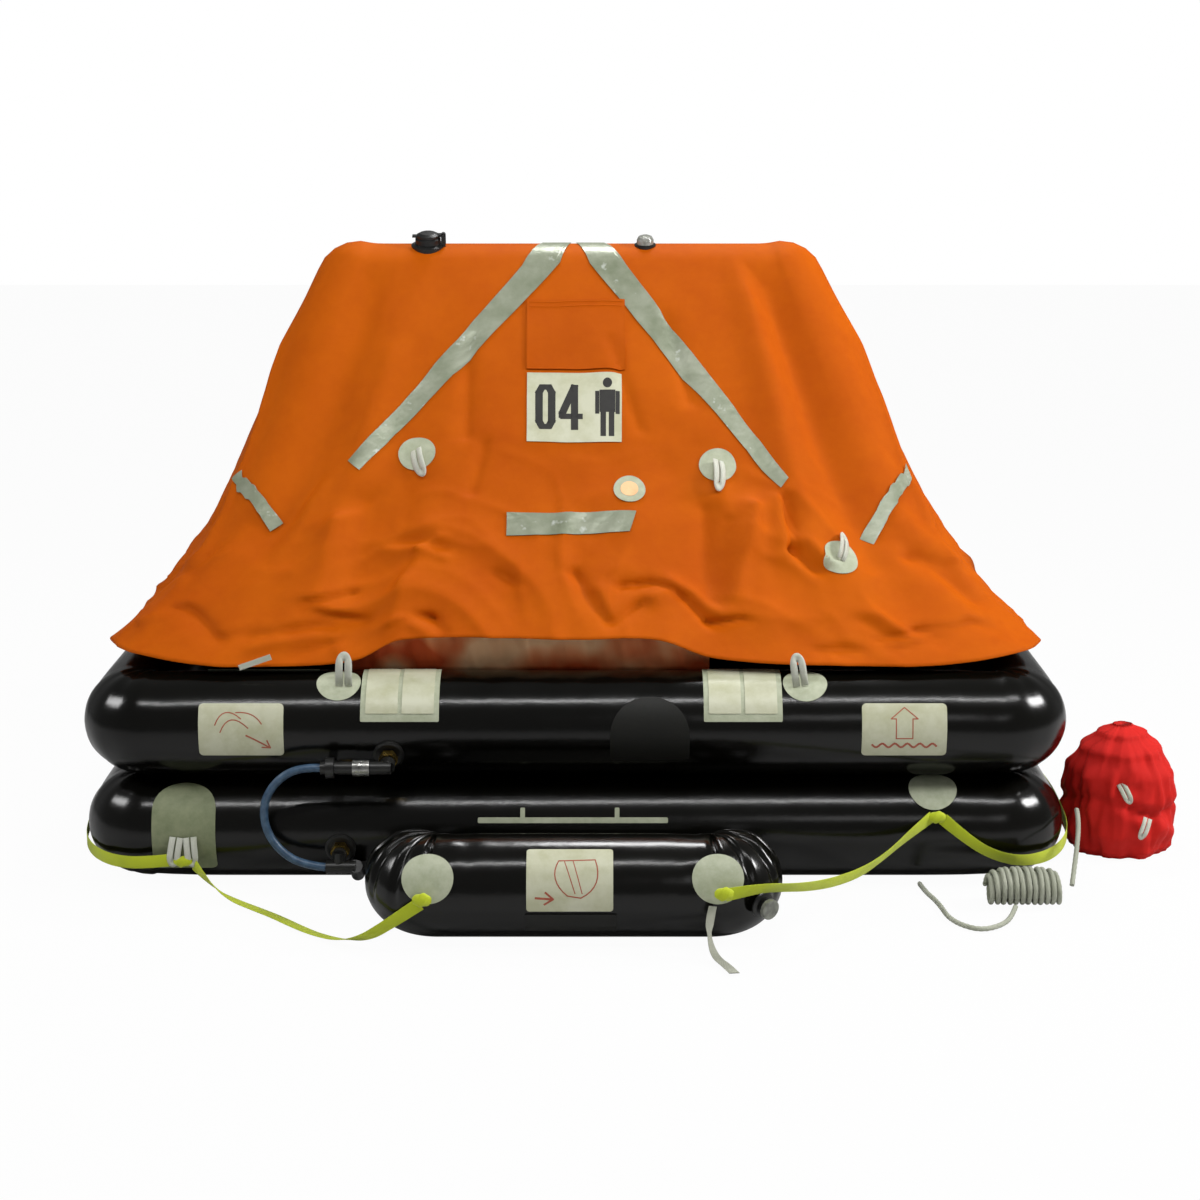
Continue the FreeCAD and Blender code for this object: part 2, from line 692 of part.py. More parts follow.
label = rounded_face(size["label_width"], size["label_height"], 9)
keep(plate_on(UPPER, "label_left", label, -644, 6), "instruction_label_left")
keep(plate_on(UPPER, "label_right", label, 636, 6), "instruction_label_right")
ramp_label = rounded_face(157, size["ramp_label_height"], 7)
keep(plate_on(RAMP, "label_ramp", ramp_label, -6, 25), "boarding_label")
keep(plate_on(RAMP, "flap", rounded_face(166, 40, 0), -4, -27), "ramp_flap")
relief = rounded_face(154, 122, 8, domed=True)
keep(plate_on(UPPER, "relief", relief, 145, 6), "relief_patch")
keep(plate_on(UPPER, "tie", rounded_face(220, 12, 0), -612, 96), "tie_strip")


def handle_face():
    """The boarding strap: a long bar with two short tabs standing up from it."""
    bar = rounded_face(370, 11, 0)
    for x in (-98, 86):
        tab = rounded_face(9, 24, 0)
        tab.translate(Vector(x, 14, 0))
        bar = bar.fuse(tab)
    return bar.removeSplitter().Faces[0]


keep(plate_on(LOWER, "handle", handle_face(), -4, 20), "boarding_strap")


# --------------------------------------------------------- webbing loops
def loop_face(width, height, slit):
    """A folded webbing loop seen flat: straight sides, pointed top, narrow slit."""
    half, shoulder = width / 2, height * 0.62
    start, end = Vector(-half, 0, 0), Vector(half, 0, 0)
    left, right = Vector(-half, shoulder, 0), Vector(half, shoulder, 0)
    tip = Vector(0, height, 0)
    bow = height - shoulder
    edges = [
        Part.LineSegment(start, end),
        Part.LineSegment(end, right),
        Part.Arc(right, Vector(half * 0.62, shoulder + bow * 0.62, 0), tip),
        Part.Arc(tip, Vector(-half * 0.62, shoulder + bow * 0.62, 0), left),
        Part.LineSegment(left, start),
    ]
    body = Part.Face(Part.Wire([edge.toShape() for edge in edges]))
    low, high = height * 0.17, height * 0.83
    rim = [Vector(x, y, 0) for x, y in ((-slit / 2, low), (slit / 2, low), (slit / 2, high), (-slit / 2, high))]
    return body.cut(Part.Face(Part.makePolygon(rim + rim[:1])))


LOOP_THICKNESS = 2.0
big_loop = loop_face(34, 68, 3.4).extrude(UP * LOOP_THICKNESS)
small_loop = loop_face(18, 52, 3.2).extrude(UP * LOOP_THICKNESS)


def standing_loop(name, shape, point, normal, upward=UP):
    loop = solid(name, shape)
    loop.Placement = facing(point, normal, upward)
    return loop


towards_viewer = Vector(0, -1, 0)
loop_y = UPPER[2] - (UPPER[1] + layer) * math.cos(math.radians(56)) - 1
loop_z = UPPER[0] + (UPPER[1] + layer) * math.sin(math.radians(56)) + 1.2
hull_loops = [
    standing_loop("loop_left", big_loop, Vector(-448, loop_y, loop_z), towards_viewer),
    standing_loop("loop_right", big_loop, Vector(438, loop_y, loop_z), towards_viewer, Vector(-0.12, 0, 1)),
]
keep(group("hull_loops", hull_loops), "hull_loops")
tongue_spot = tube_spot(LOWER, -762, -12, layer + 0.3)
tongue_loops = []
for offset, lean in ((-13, -0.1), (13, 0.1)):
    place = tongue_spot.multiply(FreeCAD.Placement(Vector(offset, -34, 0), FreeCAD.Rotation(UP, lean * -60)))
    tongue_loop = solid("tongue_loop", small_loop)
    tongue_loop.Placement = place
    tongue_loops.append(tongue_loop)
keep(group("tongue_loops", tongue_loops), "tongue_loops")


# ------------------------------------------- tapes, patches, card on the cloth
TAPE_THICKNESS = 0.7
RIDGE_ROWS_END = 0.18
TAPE_LIFT = 2.9
HIP_LIFT = 9.5


def canopy_strip(corners, along, aside, lift, thickness):
    """A strip on the canopy between four (share, drop) corners: start pair, end pair."""
    (start_a, start_b), (end_a, end_b) = corners

    def spot(u, v):
        first = [start_a[axis] + (end_a[axis] - start_a[axis]) * u for axis in (0, 1)]
        second = [start_b[axis] + (end_b[axis] - start_b[axis]) * u for axis in (0, 1)]
        share = first[0] + (second[0] - first[0]) * v
        drop = first[1] + (second[1] - first[1]) * v
        return canopy_point(share, max(0.0, drop), True, lift)
    rows = steps(0, 1, along)
    if start_a[1] < 0.1:
        rows = steps(0, RIDGE_ROWS_END, 8) + [row for row in rows if row > RIDGE_ROWS_END + 0.02]
    return cloth_sheet(spot, rows, steps(0, 1, aside), thickness)


# Corner pairs of each tape, its number of lengths and its height over the cloth.
TAPES = [
    (((-0.050, 0.005), (0.000, 0.005)), ((-0.261, 0.573), (-0.244, 0.572)), 22, TAPE_LIFT),
    (((0.014, 0.005), (0.060, 0.005)), ((0.240, 0.613), (0.254, 0.611)), 22, TAPE_LIFT),
    (((-0.074, 0.710), (-0.072, 0.766)), ((0.074, 0.707), (0.064, 0.757)), 8, TAPE_LIFT),
    (((-0.430, 0.500), (-0.420, 0.475)), ((-0.343, 0.710), (-0.334, 0.688)), 12, HIP_LIFT),
    (((0.430, 0.490), (0.420, 0.465)), ((0.335, 0.738), (0.324, 0.724)), 14, HIP_LIFT),
]
tapes = []
for start, end, lengths, lift in TAPES:
    tapes.append(solid("tape", canopy_strip((start, end), lengths, 1, lift, TAPE_THICKNESS)))
keep(group("reflective_tapes", tapes), "reflective_tapes")

pocket_corners = (((-0.068, 0.201), (-0.062, 0.367)), ((0.086, 0.201), (0.077, 0.367)))
card_corners = (((-0.061, 0.375), (-0.057, 0.537)), ((0.072, 0.375), (0.065, 0.537)))
keep(solid("canopy_pocket", canopy_strip(pocket_corners, 3, 3, TAPE_LIFT, TAPE_THICKNESS)), "canopy_pocket")
keep(solid("capacity_card", canopy_strip(card_corners, 3, 3, TAPE_LIFT, TAPE_THICKNESS)), "capacity_card")


def canopy_spot(share, drop, lift):
    """Placement on the canopy: Z out of the cloth, Y up along it."""
    point = canopy_point(share, drop)
    across = canopy_point(share + 0.03, drop) - canopy_point(share - 0.03, drop)
    down = canopy_point(share, drop + 0.04) - canopy_point(share, drop - 0.04)
    normal = down.cross(across).normalize()
    if normal.dot(cabin_middle - point) > 0:
        normal = normal * -1
    return facing(point + normal * lift, normal)


PATCH_SPOTS = [(-0.192, 0.547), (0.179, 0.567), (0.279, 0.769), (0.069, 0.652)]
discs = []
for share, drop in PATCH_SPOTS:
    discs.append(primitive("Cylinder", "canopy_disc", canopy_spot(share, drop, 3.4),
                           Radius="canopy_patch_radius", Height="skin"))
keep(group("canopy_patches", discs), "canopy_patches")
canopy_loops = []
for (share, drop), turn in zip(PATCH_SPOTS[:3], (184, 180, -14)):
    place = canopy_spot(share, drop, 3.4 + size["skin"] + 0.3)
    canopy_loop = solid("canopy_loop", small_loop)
    canopy_loop.Placement = place.multiply(FreeCAD.Placement(Vector(0, 0, 0), FreeCAD.Rotation(UP, turn)))
    canopy_loops.append(canopy_loop)
keep(group("canopy_loops", canopy_loops), "canopy_loops")

ring_point, ring_outward = arch_frame(0.50)
eyelet_spot = facing(ring_point + ring_outward * 91, Vector(0, -1, 0))
eyelet_disc = primitive("Cylinder", "eyelet_disc", eyelet_spot, Radius="8", Height="2.5")
eyelet_hole = primitive("Cylinder", "eyelet_hole", eyelet_spot, Radius="5", Height="2.5")
keep(cut("canopy_eyelet", eyelet_disc, eyelet_hole), "canopy_eyelet")


# ------------------------------------------------------------- inner curtain
def curtain_point(u, v):
    """Gathered cloth that closes the low gap behind the door hem."""
    x = -412 + 642 * u
    gather = 9 * math.sin(2 * math.pi * 7.3 * u + 0.6) + 5 * math.sin(2 * math.pi * 3.1 * u)
    y = -566 + gather * (0.5 + 0.5 * v) - 10 * v
    rest = math.sqrt(size["tube_radius"] ** 2 - (y - front_y) ** 2)
    low = upper_z + rest + 1.5
    return Vector(x, y, low + (496 - low) * v)


keep(solid("inner_curtain", cloth_sheet(curtain_point, steps(0, 1, 26), steps(0, 1, 3), 1.5)), "inner_curtain")

tie_tape_face = rounded_face(66, 11, 0).extrude(UP * 1.5)
tie_tape = solid("tie_tape", tie_tape_face)
tie_tape.Placement = facing(Vector(-622, -650, 441), Vector(0, -1, 0), Vector(-0.35, 0, 1))
keep(tie_tape, "tie_tape")


# ---------------------------------------------------------------- inlet valves
def flanged_stem(label, stem_name, placement):
    """Flange glued to the tube, with the threaded stem that the union nut turns on."""
    corners = [
        ("0", "-4"), ("flange_radius", "-4"), ("flange_radius", "flange_height - 2"),
        ("flange_radius - 4", "flange_height"), ("stem_radius", "flange_height"),
        ("stem_radius", stem_name), ("0", stem_name),
    ]
    return turned(label, corners, placement)


def seated(label, body, tube_solid):
    """Trim the underside of a flange to the tube that it is glued to."""
    return cut(label, body, tube_solid)


def union_nut(name, placement):
    """Hexagonal union nut, bored to run on the stem."""
    prism = doc.addObject("Part::Prism", name + "_hexagon")
    prism.Polygon = 6
    bind(prism, Circumradius="nut_across / 2 / cos(30)", Height="nut_height")
    bore = primitive("Cylinder", name + "_bore", None, Radius="stem_radius + nut_clearance", Height="nut_height")
    nut = cut(name, prism, bore)
    nut.Placement = placement
    return nut


upper_spot = tube_spot(UPPER, -360, -22)
lower_spot = tube_spot(LOWER, -457, -11)
upper_body = flanged_stem("upper_inlet_body", "stem_length", upper_spot)
lower_body = flanged_stem("lower_inlet_body", "short_stem_length", lower_spot)
upper_seat = solid("upper_seat", ring_shape(size["tube_radius"] + size["glue_gap"], upper_z))
lower_seat = solid("lower_seat", ring_shape(size["tube_radius"] + size["glue_gap"], lower_z))
keep(seated("upper_inlet_valve", upper_body, upper_seat), "upper_inlet_valve")
keep(seated("lower_inlet_valve", lower_body, lower_seat), "lower_inlet_valve")


def along_normal(spot, distance):
    return spot.multiply(FreeCAD.Placement(Vector(0, 0, distance), FreeCAD.Rotation()))


UPPER_NUT_AT = 9
LOWER_NUT_AT = 5.6
keep(union_nut("upper_nut", along_normal(upper_spot, UPPER_NUT_AT)), "upper_union_nut")
keep(union_nut("lower_nut", along_normal(lower_spot, LOWER_NUT_AT)), "lower_union_nut")


# ------------------------------------------------------------ inflation hose
def elbow_arm(start, end, radius):
    """A round bar that runs past its start, to meet the next arm at the corner."""
    past = (start - end).normalize() * 0.55 * radius
    return straight_tube(start + past, end, radius)


def bored_for(spot, length_name, shape):
    """Room in an elbow for the end of the stem that it is pushed on."""
    stem = Part.makeCylinder(size["stem_radius"] + 0.2, size[length_name])
    stem.Placement = spot
    return shape.cut(stem)


elbow_point = along_normal(upper_spot, size["stem_length"] + 3).Base
elbow_end = elbow_point + Vector(-34, 0, 0)
elbow = elbow_arm(elbow_point, elbow_end, 13)
socket_start = along_normal(upper_spot, UPPER_NUT_AT + size["nut_height"] + 1).Base
elbow = elbow.fuse(straight_tube(socket_start, elbow_point, 14.5))
keep(solid("upper_elbow", bored_for(upper_spot, "stem_length", elbow)), "upper_elbow")

hose_axis_y, hose_axis_z = elbow_point.y, elbow_point.z
left = Vector(-1, 0, 0)
ferrule_start = elbow_end + left * 0.2
ferrule = primitive("Cylinder", "hose_ferrule", facing(ferrule_start, left),
                    Radius="ferrule_radius", Height="ferrule_length")
keep(ferrule, "hose_ferrule")
sleeve_start = ferrule_start + left * (size["ferrule_length"] + 0.2)
sleeve = primitive("Cylinder", "hose_sleeve", facing(sleeve_start, left),
                   Radius="sleeve_radius", Height="sleeve_length")
keep(sleeve, "hose_sleeve")


def hose_clip():
    """A ring round the sleeve on a strap that is glued into the crease of the tube."""
    x = sleeve_start.x - 0.7 * size["sleeve_length"]
    centre = Vector(x, hose_axis_y, hose_axis_z)
    inner = size["sleeve_radius"] + 0.2
    ring = straight_tube(centre + left * -8, centre + left * 8, size["clip_radius"])
    reach = centre.y + size["clip_radius"] - 3
    strap = Part.makeBox(16, -698 - reach + 14, 6, Vector(x - 8, reach, hose_axis_z - 3))
    hole = straight_tube(centre + left * -9, centre + left * 9, inner)
    return ring.fuse(strap).cut(hole).cut(upper_seat.Shape)


keep(solid("hose_clip", hose_clip()), "hose_clip")

hose_start = sleeve_start + left * (size["sleeve_length"] + 0.2)
tee_z = 56


def bent_path(points):
    """Straight runs joined by tangent arcs as large as the runs allow; also gives the radii."""
    edges, radii = [], []
    last = points[0]
    for index in range(1, len(points) - 1):
        before, corner, after = points[index - 1], points[index], points[index + 1]
        run_in, run_out = corner - before, after - corner
        turn = run_in.getAngle(run_out)
        shorter = min(run_in.Length, run_out.Length)
        radius = 0.45 * shorter / math.tan(turn / 2)
        radii.append(radius)
        first = corner - Vector(run_in).normalize() * 0.45 * shorter
        second = corner + Vector(run_out).normalize() * 0.45 * shorter
        bisector = (first + second) * 0.5 - corner
        depth = radius / math.cos(turn / 2) - radius
        middle = corner + bisector.normalize() * depth
        edges.append(Part.LineSegment(last, first).toShape())
        edges.append(Part.Arc(first, middle, second).toShape())
        last = second
    edges.append(Part.LineSegment(last, points[-1]).toShape())
    return Part.Wire(edges), radii


CORD_SIDES = 6


def cord_section(centre, direction, radius):
    """A six-sided section with the area of the round one."""
    frame = facing(centre, direction)
    spread = radius * math.sqrt(2 * math.pi / (CORD_SIDES * math.sin(2 * math.pi / CORD_SIDES)))
    corners = []
    for index in range(CORD_SIDES + 1):
        angle = 2 * math.pi * (index + 0.5) / CORD_SIDES
        corners.append(frame.multVec(Vector(spread * math.cos(angle), spread * math.sin(angle), 0)))
    return Part.makePolygon(corners)


def cord(label, points, radius):
    """A plain tube along a free route."""
    path, radii = bent_path(points)
    section = cord_section(points[0], points[1] - points[0], radius)
    shape = path.makePipeShell([section], True, False)
    expected = math.pi * radius ** 2 * path.Length
    print("%s: length %.0f, volume / expected %.3f, radii %s"
          % (label, path.Length, shape.Volume / expected, [round(value) for value in radii]))
    return keep(solid(label, shape), label)


HOSE_ROUTE = [(-528, 257), (-573, 232), (-600, 187), (-598, 133), (-570, 88), (-527, 61)]
tee_start = Vector(-482, hose_axis_y, tee_z)
hose_points = [hose_start] + [Vector(x, hose_axis_y, z) for x, z in HOSE_ROUTE] + [tee_start + left]
cord("inflation_hose", hose_points, size["hose_radius"])


def feed_tee():
    """Black tee under the lower inlet, its far end bent in below the tube."""
    tee_end = Vector(-424, hose_axis_y, tee_z)
    run = straight_tube(tee_start + Vector(0.3, 0, 0), tee_end, 13)
    tail_end = tee_end + Vector(0, 36, -26)
    tail = elbow_arm(tee_end, tail_end, 13)
    socket_start = along_normal(lower_spot, LOWER_NUT_AT + size["nut_height"] + 1).Base
    socket_end = along_normal(lower_spot, size["short_stem_length"] + 5).Base
    socket = straight_tube(socket_start, socket_end, 14)
    branch = elbow_arm(socket_end, Vector(socket_end.x, hose_axis_y, tee_z), 11)
    body = run.fuse([tail, socket, branch])
    return bored_for(lower_spot, "short_stem_length", body)


keep(solid("feed_tee", feed_tee()), "feed_tee")


# ------------------------------------------------------- valve and lamp on the ridge
ridge_radius = size["arch_radius"] + size["cloth"] + 3
ridge_top = size["arch_height"] + ridge_radius
ridge_core = primitive("Cylinder", "ridge_core",
                       facing(Vector(-600, 0.2, size["arch_height"]), ACROSS),
                       Radius="arch_radius + cloth + 3.6", Height="1200")
ridge_tilt = math.radians(14)
ridge_out = Vector(0, -math.sin(ridge_tilt), math.cos(ridge_tilt))


def ridge_spot(x):
    """Placement on the ridge, leaning a little to the boarding side."""
    base = Vector(x, 0, size["arch_height"]) + ridge_out * ridge_radius
    return facing(base, ridge_out, BACK)


valve_spot = ridge_spot(-318)
valve_body = turned("arch_valve_turned", [
    ("0", "-12"), ("valve_radius + 9", "-12"), ("valve_radius + 9", "1"), ("valve_radius + 4", "4"),
    ("valve_radius", "4"), ("valve_radius", "valve_height * 0.62"), ("valve_radius - 4", "valve_height * 0.75"),
    ("0", "valve_height * 0.75"),
], valve_spot)
doc.recompute()
PIN_RADIUS = 2.5
PIN_REACH = size["valve_radius"] + 6
pin_height = size["valve_height"] * 0.75 + size["lid_height"] / 2


def hinge_lug(at, length, radius):
    """A short bar across the valve at the lid's hinge."""
    lug = Part.makeCylinder(radius, length, Vector(at, -length / 2, pin_height), BACK)
    lug.Placement = valve_spot.multiply(lug.Placement)
    return lug


def valve_with_lugs():
    """Two lugs and the pin stand beside the body, joined to its flange."""
    shape = valve_body.Shape
    for side in (-1, 1):
        post = Part.makeBox(9, 4, pin_height + 4, Vector(PIN_REACH - 4.5, side * 9 - 2, -6))
        post.Placement = valve_spot.multiply(post.Placement)
        shape = shape.fuse(post)
    return shape.fuse(hinge_lug(PIN_REACH, 22, PIN_RADIUS)).cut(ridge_core.Shape)


keep(solid("arch_valve_body", valve_with_lugs()), "arch_valve_body")


def valve_lid():
    """Domed lid with a finger tab and a knuckle that turns on the pin."""
    low = size["valve_height"] * 0.75 + 0.3
    high = low + size["lid_height"]
    radius = size["lid_radius"]
    rim = [Vector(0, 0, low), Vector(radius, 0, low), Vector(radius, 0, high - 5),
           Vector(radius * 0.7, 0, high - 1), Vector(0, 0, high), Vector(0, 0, low)]
    dome = Part.Face(Part.makePolygon(rim)).revolve(Vector(0, 0, 0), UP, 360)
    tab = Part.makeBox(14, 12, 4, Vector(-radius - 9, -6, low))
    arm = Part.makeBox(PIN_REACH - radius + 4, 11, size["lid_height"] * 0.6, Vector(radius - 4, -5.5, low + 1))
    knuckle = Part.makeCylinder(PIN_RADIUS + 2.2, 11, Vector(PIN_REACH, -5.5, pin_height), BACK)
    bore = Part.makeCylinder(PIN_RADIUS + 0.05, 13, Vector(PIN_REACH, -6.5, pin_height), BACK)
    return dome.fuse([tab, arm, knuckle]).cut(bore)


lid = solid("arch_valve_lid", valve_lid())
lid.Placement = valve_spot
keep(lid, "arch_valve_lid")

lamp_spot = ridge_spot(145)
lamp_base = turned("lamp_base_turned", [
    ("0", "-8"), ("lamp_radius + 5", "-8"), ("lamp_radius + 5", "1.5"), ("lamp_radius + 1", "4"), ("0", "4"),
], lamp_spot)
keep(cut("lamp_base", lamp_base, ridge_core), "lamp_base")
lamp_lens = turned("lamp_lens", [
    ("0", "4.2"), ("lamp_radius", "4.2"), ("lamp_radius", "lamp_height * 0.55"),
    ("lamp_radius * 0.8", "lamp_height * 0.85"), ("lamp_radius * 0.4", "lamp_height"), ("0", "lamp_height"),
], lamp_spot)
keep(lamp_lens, "lamp_lens")

# ------------------------------------------------------------- ramp valve
cap_direction = Vector(0.60, -0.78, -0.15).normalize()
cap_level = Vector(cap_direction.x, cap_direction.y, 0).normalize()
cap_point = ramp_pivot(1) + cap_level * size["ramp_bend"] + cap_direction * size["ramp_radius"]
cap_spot = facing(cap_point, cap_direction)
ramp_valve = turned("ramp_valve_turned", [
    ("0", "-8"), ("cap_stem_radius + 12", "-8"), ("cap_stem_radius + 12", "1"), ("cap_stem_radius + 6", "4"),
    ("cap_stem_radius", "4"), ("cap_stem_radius", "cap_stem_height"), ("0", "cap_stem_height"),
], cap_spot)
ramp_seat = solid("ramp_seat", ramp_shape(size["ramp_radius"] + size["glue_gap"]))
keep(cut("ramp_valve_body", ramp_valve, ramp_seat), "ramp_valve_body")
ramp_cap = turned("ramp_valve_cap", [
    ("0", "cap_stem_height + 0.3"), ("cap_stem_radius + 0.05", "cap_stem_height + 0.3"),
    ("cap_stem_radius + 0.05", "cap_stem_height - 5"), ("cap_radius", "cap_stem_height - 5"),
    ("cap_radius", "cap_stem_height - 6 + cap_height"), ("cap_radius - 2", "cap_stem_height - 5 + cap_height"),
    ("0", "cap_stem_height - 5 + cap_height"),
], cap_spot)
keep(ramp_cap, "ramp_valve_cap")

# ---------------------------------------------------------- gas cylinder
bottle_spot = facing(Vector(-430, -30, size["floor_thickness"] + size["bottle_radius"] + 0.3), Vector(0, -1, 0))
bottle = turned("gas_cylinder", [
    ("0", "0"), ("bottle_radius * 0.7", "0"), ("bottle_radius", "18"), ("bottle_radius", "bottle_length - 45"),
    ("bottle_radius * 0.72", "bottle_length - 15"), ("bottle_radius * 0.28", "bottle_length - 4"),
    ("bottle_radius * 0.28", "bottle_length"), ("0", "bottle_length"),
], bottle_spot)
keep(bottle, "gas_cylinder")
bottle_head = turned("cylinder_head", [
    ("0", "bottle_length + 0.2"), ("15", "bottle_length + 0.2"), ("15", "bottle_length + 14"),
    ("21", "bottle_length + 17"), ("21", "bottle_length + 38"), ("8", "bottle_length + 42"),
    ("8", "bottle_length + 52"), ("0", "bottle_length + 52"),
], bottle_spot)
keep(bottle_head, "cylinder_head")


def bottle_strap(at):
    """A webbing band over the cylinder, its feet on the floor."""
    radius, lift = size["bottle_radius"] + 0.3, size["floor_thickness"] + 0.2
    middle = Vector(-430, at, size["floor_thickness"] + size["bottle_radius"] + 0.3)
    outside = Part.makeCylinder(radius + 1.5, 40, middle, BACK)
    block = Part.makeBox(2 * radius + 3, 40, middle.z - lift, Vector(-430 - radius - 1.5, at, lift))
    inner = Part.makeCylinder(radius, 42, middle - BACK, BACK)
    channel = Part.makeBox(2 * radius, 42, middle.z, Vector(-430 - radius, at - 1, 0))
    feet = Part.makeBox(2 * radius + 60, 40, 1.5, Vector(-430 - radius - 30, at, lift))
    band = outside.fuse(block).cut(inner).cut(channel)
    return band.fuse(feet.cut(channel))


keep(solid("cylinder_straps", Part.makeCompound([bottle_strap(-330), bottle_strap(-140)])), "cylinder_straps")

# -------------------------------------------------- grab line, drogue and lines
line_radius = size["line_radius"]
GRAB_LEFT = [
    (-985, -290, 103), (-989, -350, 96), (-990, -412, 86), (-989, -474, 76), (-987, -536, 68),
    (-977, -598, 62), (-948, -660, 58), (-900, -708, 56), (-842, -728, 58), (-784, -732, 66),
]
GRAB_DIP = [
    (-740, -732, 56), (-702, -764, 24), (-655, -802, 8), (-606, -846, 6), (-560, -892, 6),
    (-518, -942, 6), (-474, -988, 6), (-424, -1024, 8), (-378, -1056, 24), (-332, -1076, 58), (-276, -1075, 96),
]
GRAB_RIGHT = [
    (275, -1073, 112), (336, -1064, 122), (392, -1020, 108), (440, -966, 92), (492, -914, 84),
    (546, -862, 86), (596, -806, 100), (644, -756, 124), (692, -722, 150),
]
GRAB_CORNER = [
    (714, -722, 146), (760, -734, 108), (810, -738, 78), (866, -728, 62), (920, -697, 60),
    (960, -650, 66), (983, -594, 76), (990, -532, 84), (990, -470, 92), (990, -408, 98), (988, -348, 102),
    (985, -290, 103),
]
DROGUE_LOOP = [
    (836, -862, 16), (822, -900, 7), (796, -938, 5.5), (756, -962, 5.5), (722, -934, 5.5),
    (704, -888, 5.5), (700, -838, 5.5), (693, -790, 5.5), (681, -744, 5.5), (676, -696, 5.5),
]
DROGUE_TAIL = [
    (956, -790, 34), (965, -762, 62), (976, -725, 92), (986, -682, 112), (994, -636, 122), (1000, -590, 124),
]
RAMP_STRAP = [
    (252, -1076, 92), (245, -1082, 62), (246, -1090, 32), (256, -1112, 8), (274, -1144, 5), (286, -1182, 5),
]


def route(rows):
    return [Vector(*row) for row in rows]


cord("grab_line_left", route(GRAB_LEFT), line_radius)
cord("grab_line_dip", route(GRAB_DIP), line_radius)
cord("grab_line_right", route(GRAB_RIGHT), line_radius)
cord("grab_line_corner", route(GRAB_CORNER), line_radius)
cord("drogue_line", route(DROGUE_LOOP), size["rope_radius"])
cord("drogue_tail", route(DROGUE_TAIL), size["rope_radius"])
cord("ramp_strap", route(RAMP_STRAP), 4)


def lump(sections, sides=12):
    """A closed soft form of flat facets through level ovals: (height, half x, half y) rows."""
    rings = []
    for height, half_x, half_y in sections:
        ring = []
        for index in range(sides):
            angle = 2 * math.pi * index / sides
            ring.append(Vector(half_x * math.cos(angle), half_y * math.sin(angle), height))
        rings.append(ring)
    facets = []
    for low, high in zip(rings, rings[1:]):
        for index in range(sides):
            after = (index + 1) % sides
            facets.append((low[index], low[after], high[after]))
            facets.append((low[index], high[after], high[index]))
    faces = [Part.Face(Part.makePolygon(corners + corners[:1])) for corners in facets]
    for ring in (rings[0], rings[-1]):
        faces.append(Part.Face(Part.makePolygon(ring + ring[:1])))
    shell = Part.makeShell(faces)
    shell.sewShape()
    result = Part.makeSolid(shell)
    if result.Volume < 0:
        result.reverse()
    return result


HANK_SECTIONS = [(0, 66, 36), (14, 80, 46), (58, 80, 46), (78, 62, 32)]
hank = solid("line_hank", lump(HANK_SECTIONS))
hank.Placement = FreeCAD.Placement(Vector(860, -804, 0), FreeCAD.Rotation(UP, 6))
keep(hank, "line_hank")

BAG_SECTIONS = [(0, 98, 100), (55, 121, 124), (150, 116, 118), (222, 84, 88), (262, 38, 40)]
bag = solid("drogue_bag", lump(BAG_SECTIONS))
bag.Placement = FreeCAD.Placement(Vector(1118, -436, 0), FreeCAD.Rotation())
keep(bag, "drogue_bag")


# --------------------------------------------------------- checks and files
doc.recompute()
failed = [item.Name for item in doc.Objects if "Invalid" in item.State or "Error" in item.State]
if failed:
    raise RuntimeError("failed objects: %s" % failed)
for item in nodes:
    shape = item.Shape
    if shape.isNull() or not shape.isValid() or not shape.Solids:
        raise RuntimeError("bad shape: " + item.Label)

os.makedirs("parts", exist_ok=True)
for item in nodes:
    item.Shape.exportStep(os.path.join("parts", item.Label + ".step"))
print("%d nodes written" % len(nodes))
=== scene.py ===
import math

import bmesh
import bpy
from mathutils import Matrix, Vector, noise


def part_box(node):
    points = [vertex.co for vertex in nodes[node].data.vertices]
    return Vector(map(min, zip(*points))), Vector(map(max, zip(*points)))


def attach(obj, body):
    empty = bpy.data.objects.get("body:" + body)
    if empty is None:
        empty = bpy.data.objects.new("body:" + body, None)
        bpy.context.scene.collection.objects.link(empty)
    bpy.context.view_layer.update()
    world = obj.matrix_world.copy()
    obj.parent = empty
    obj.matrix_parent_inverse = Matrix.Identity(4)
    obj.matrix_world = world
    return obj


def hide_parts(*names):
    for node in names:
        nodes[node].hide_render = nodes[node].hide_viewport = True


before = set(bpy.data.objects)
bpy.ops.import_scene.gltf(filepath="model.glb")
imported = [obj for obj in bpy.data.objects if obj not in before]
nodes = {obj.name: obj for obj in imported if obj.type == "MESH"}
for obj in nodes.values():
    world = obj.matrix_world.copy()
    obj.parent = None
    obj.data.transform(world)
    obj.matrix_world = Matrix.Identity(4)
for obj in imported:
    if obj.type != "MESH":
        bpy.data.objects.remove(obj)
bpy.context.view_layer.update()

X, Z = Vector((1, 0, 0)), Vector((0, 0, 1))


# ------------------------------------------------------------ sizes from the frame
class Tube:
    """An inflated tube that runs along X on the boarding side, with its ring around the raft."""

    def __init__(self, node, half_x, half_y, bend):
        low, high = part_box(node)
        self.radius = (high.z - low.z) / 2
        self.z = (high.z + low.z) / 2
        self.half_x, self.half_y, self.bend = half_x, half_y, bend
        self.front = -half_y

    def at(self, x, angle, lift=0.0):
        """Point on the boarding side: angle in degrees above the horizontal."""
        reach, tilt = self.radius + lift, math.radians(angle)
        return Vector((x, self.front - reach * math.cos(tilt), self.z + reach * math.sin(tilt)))


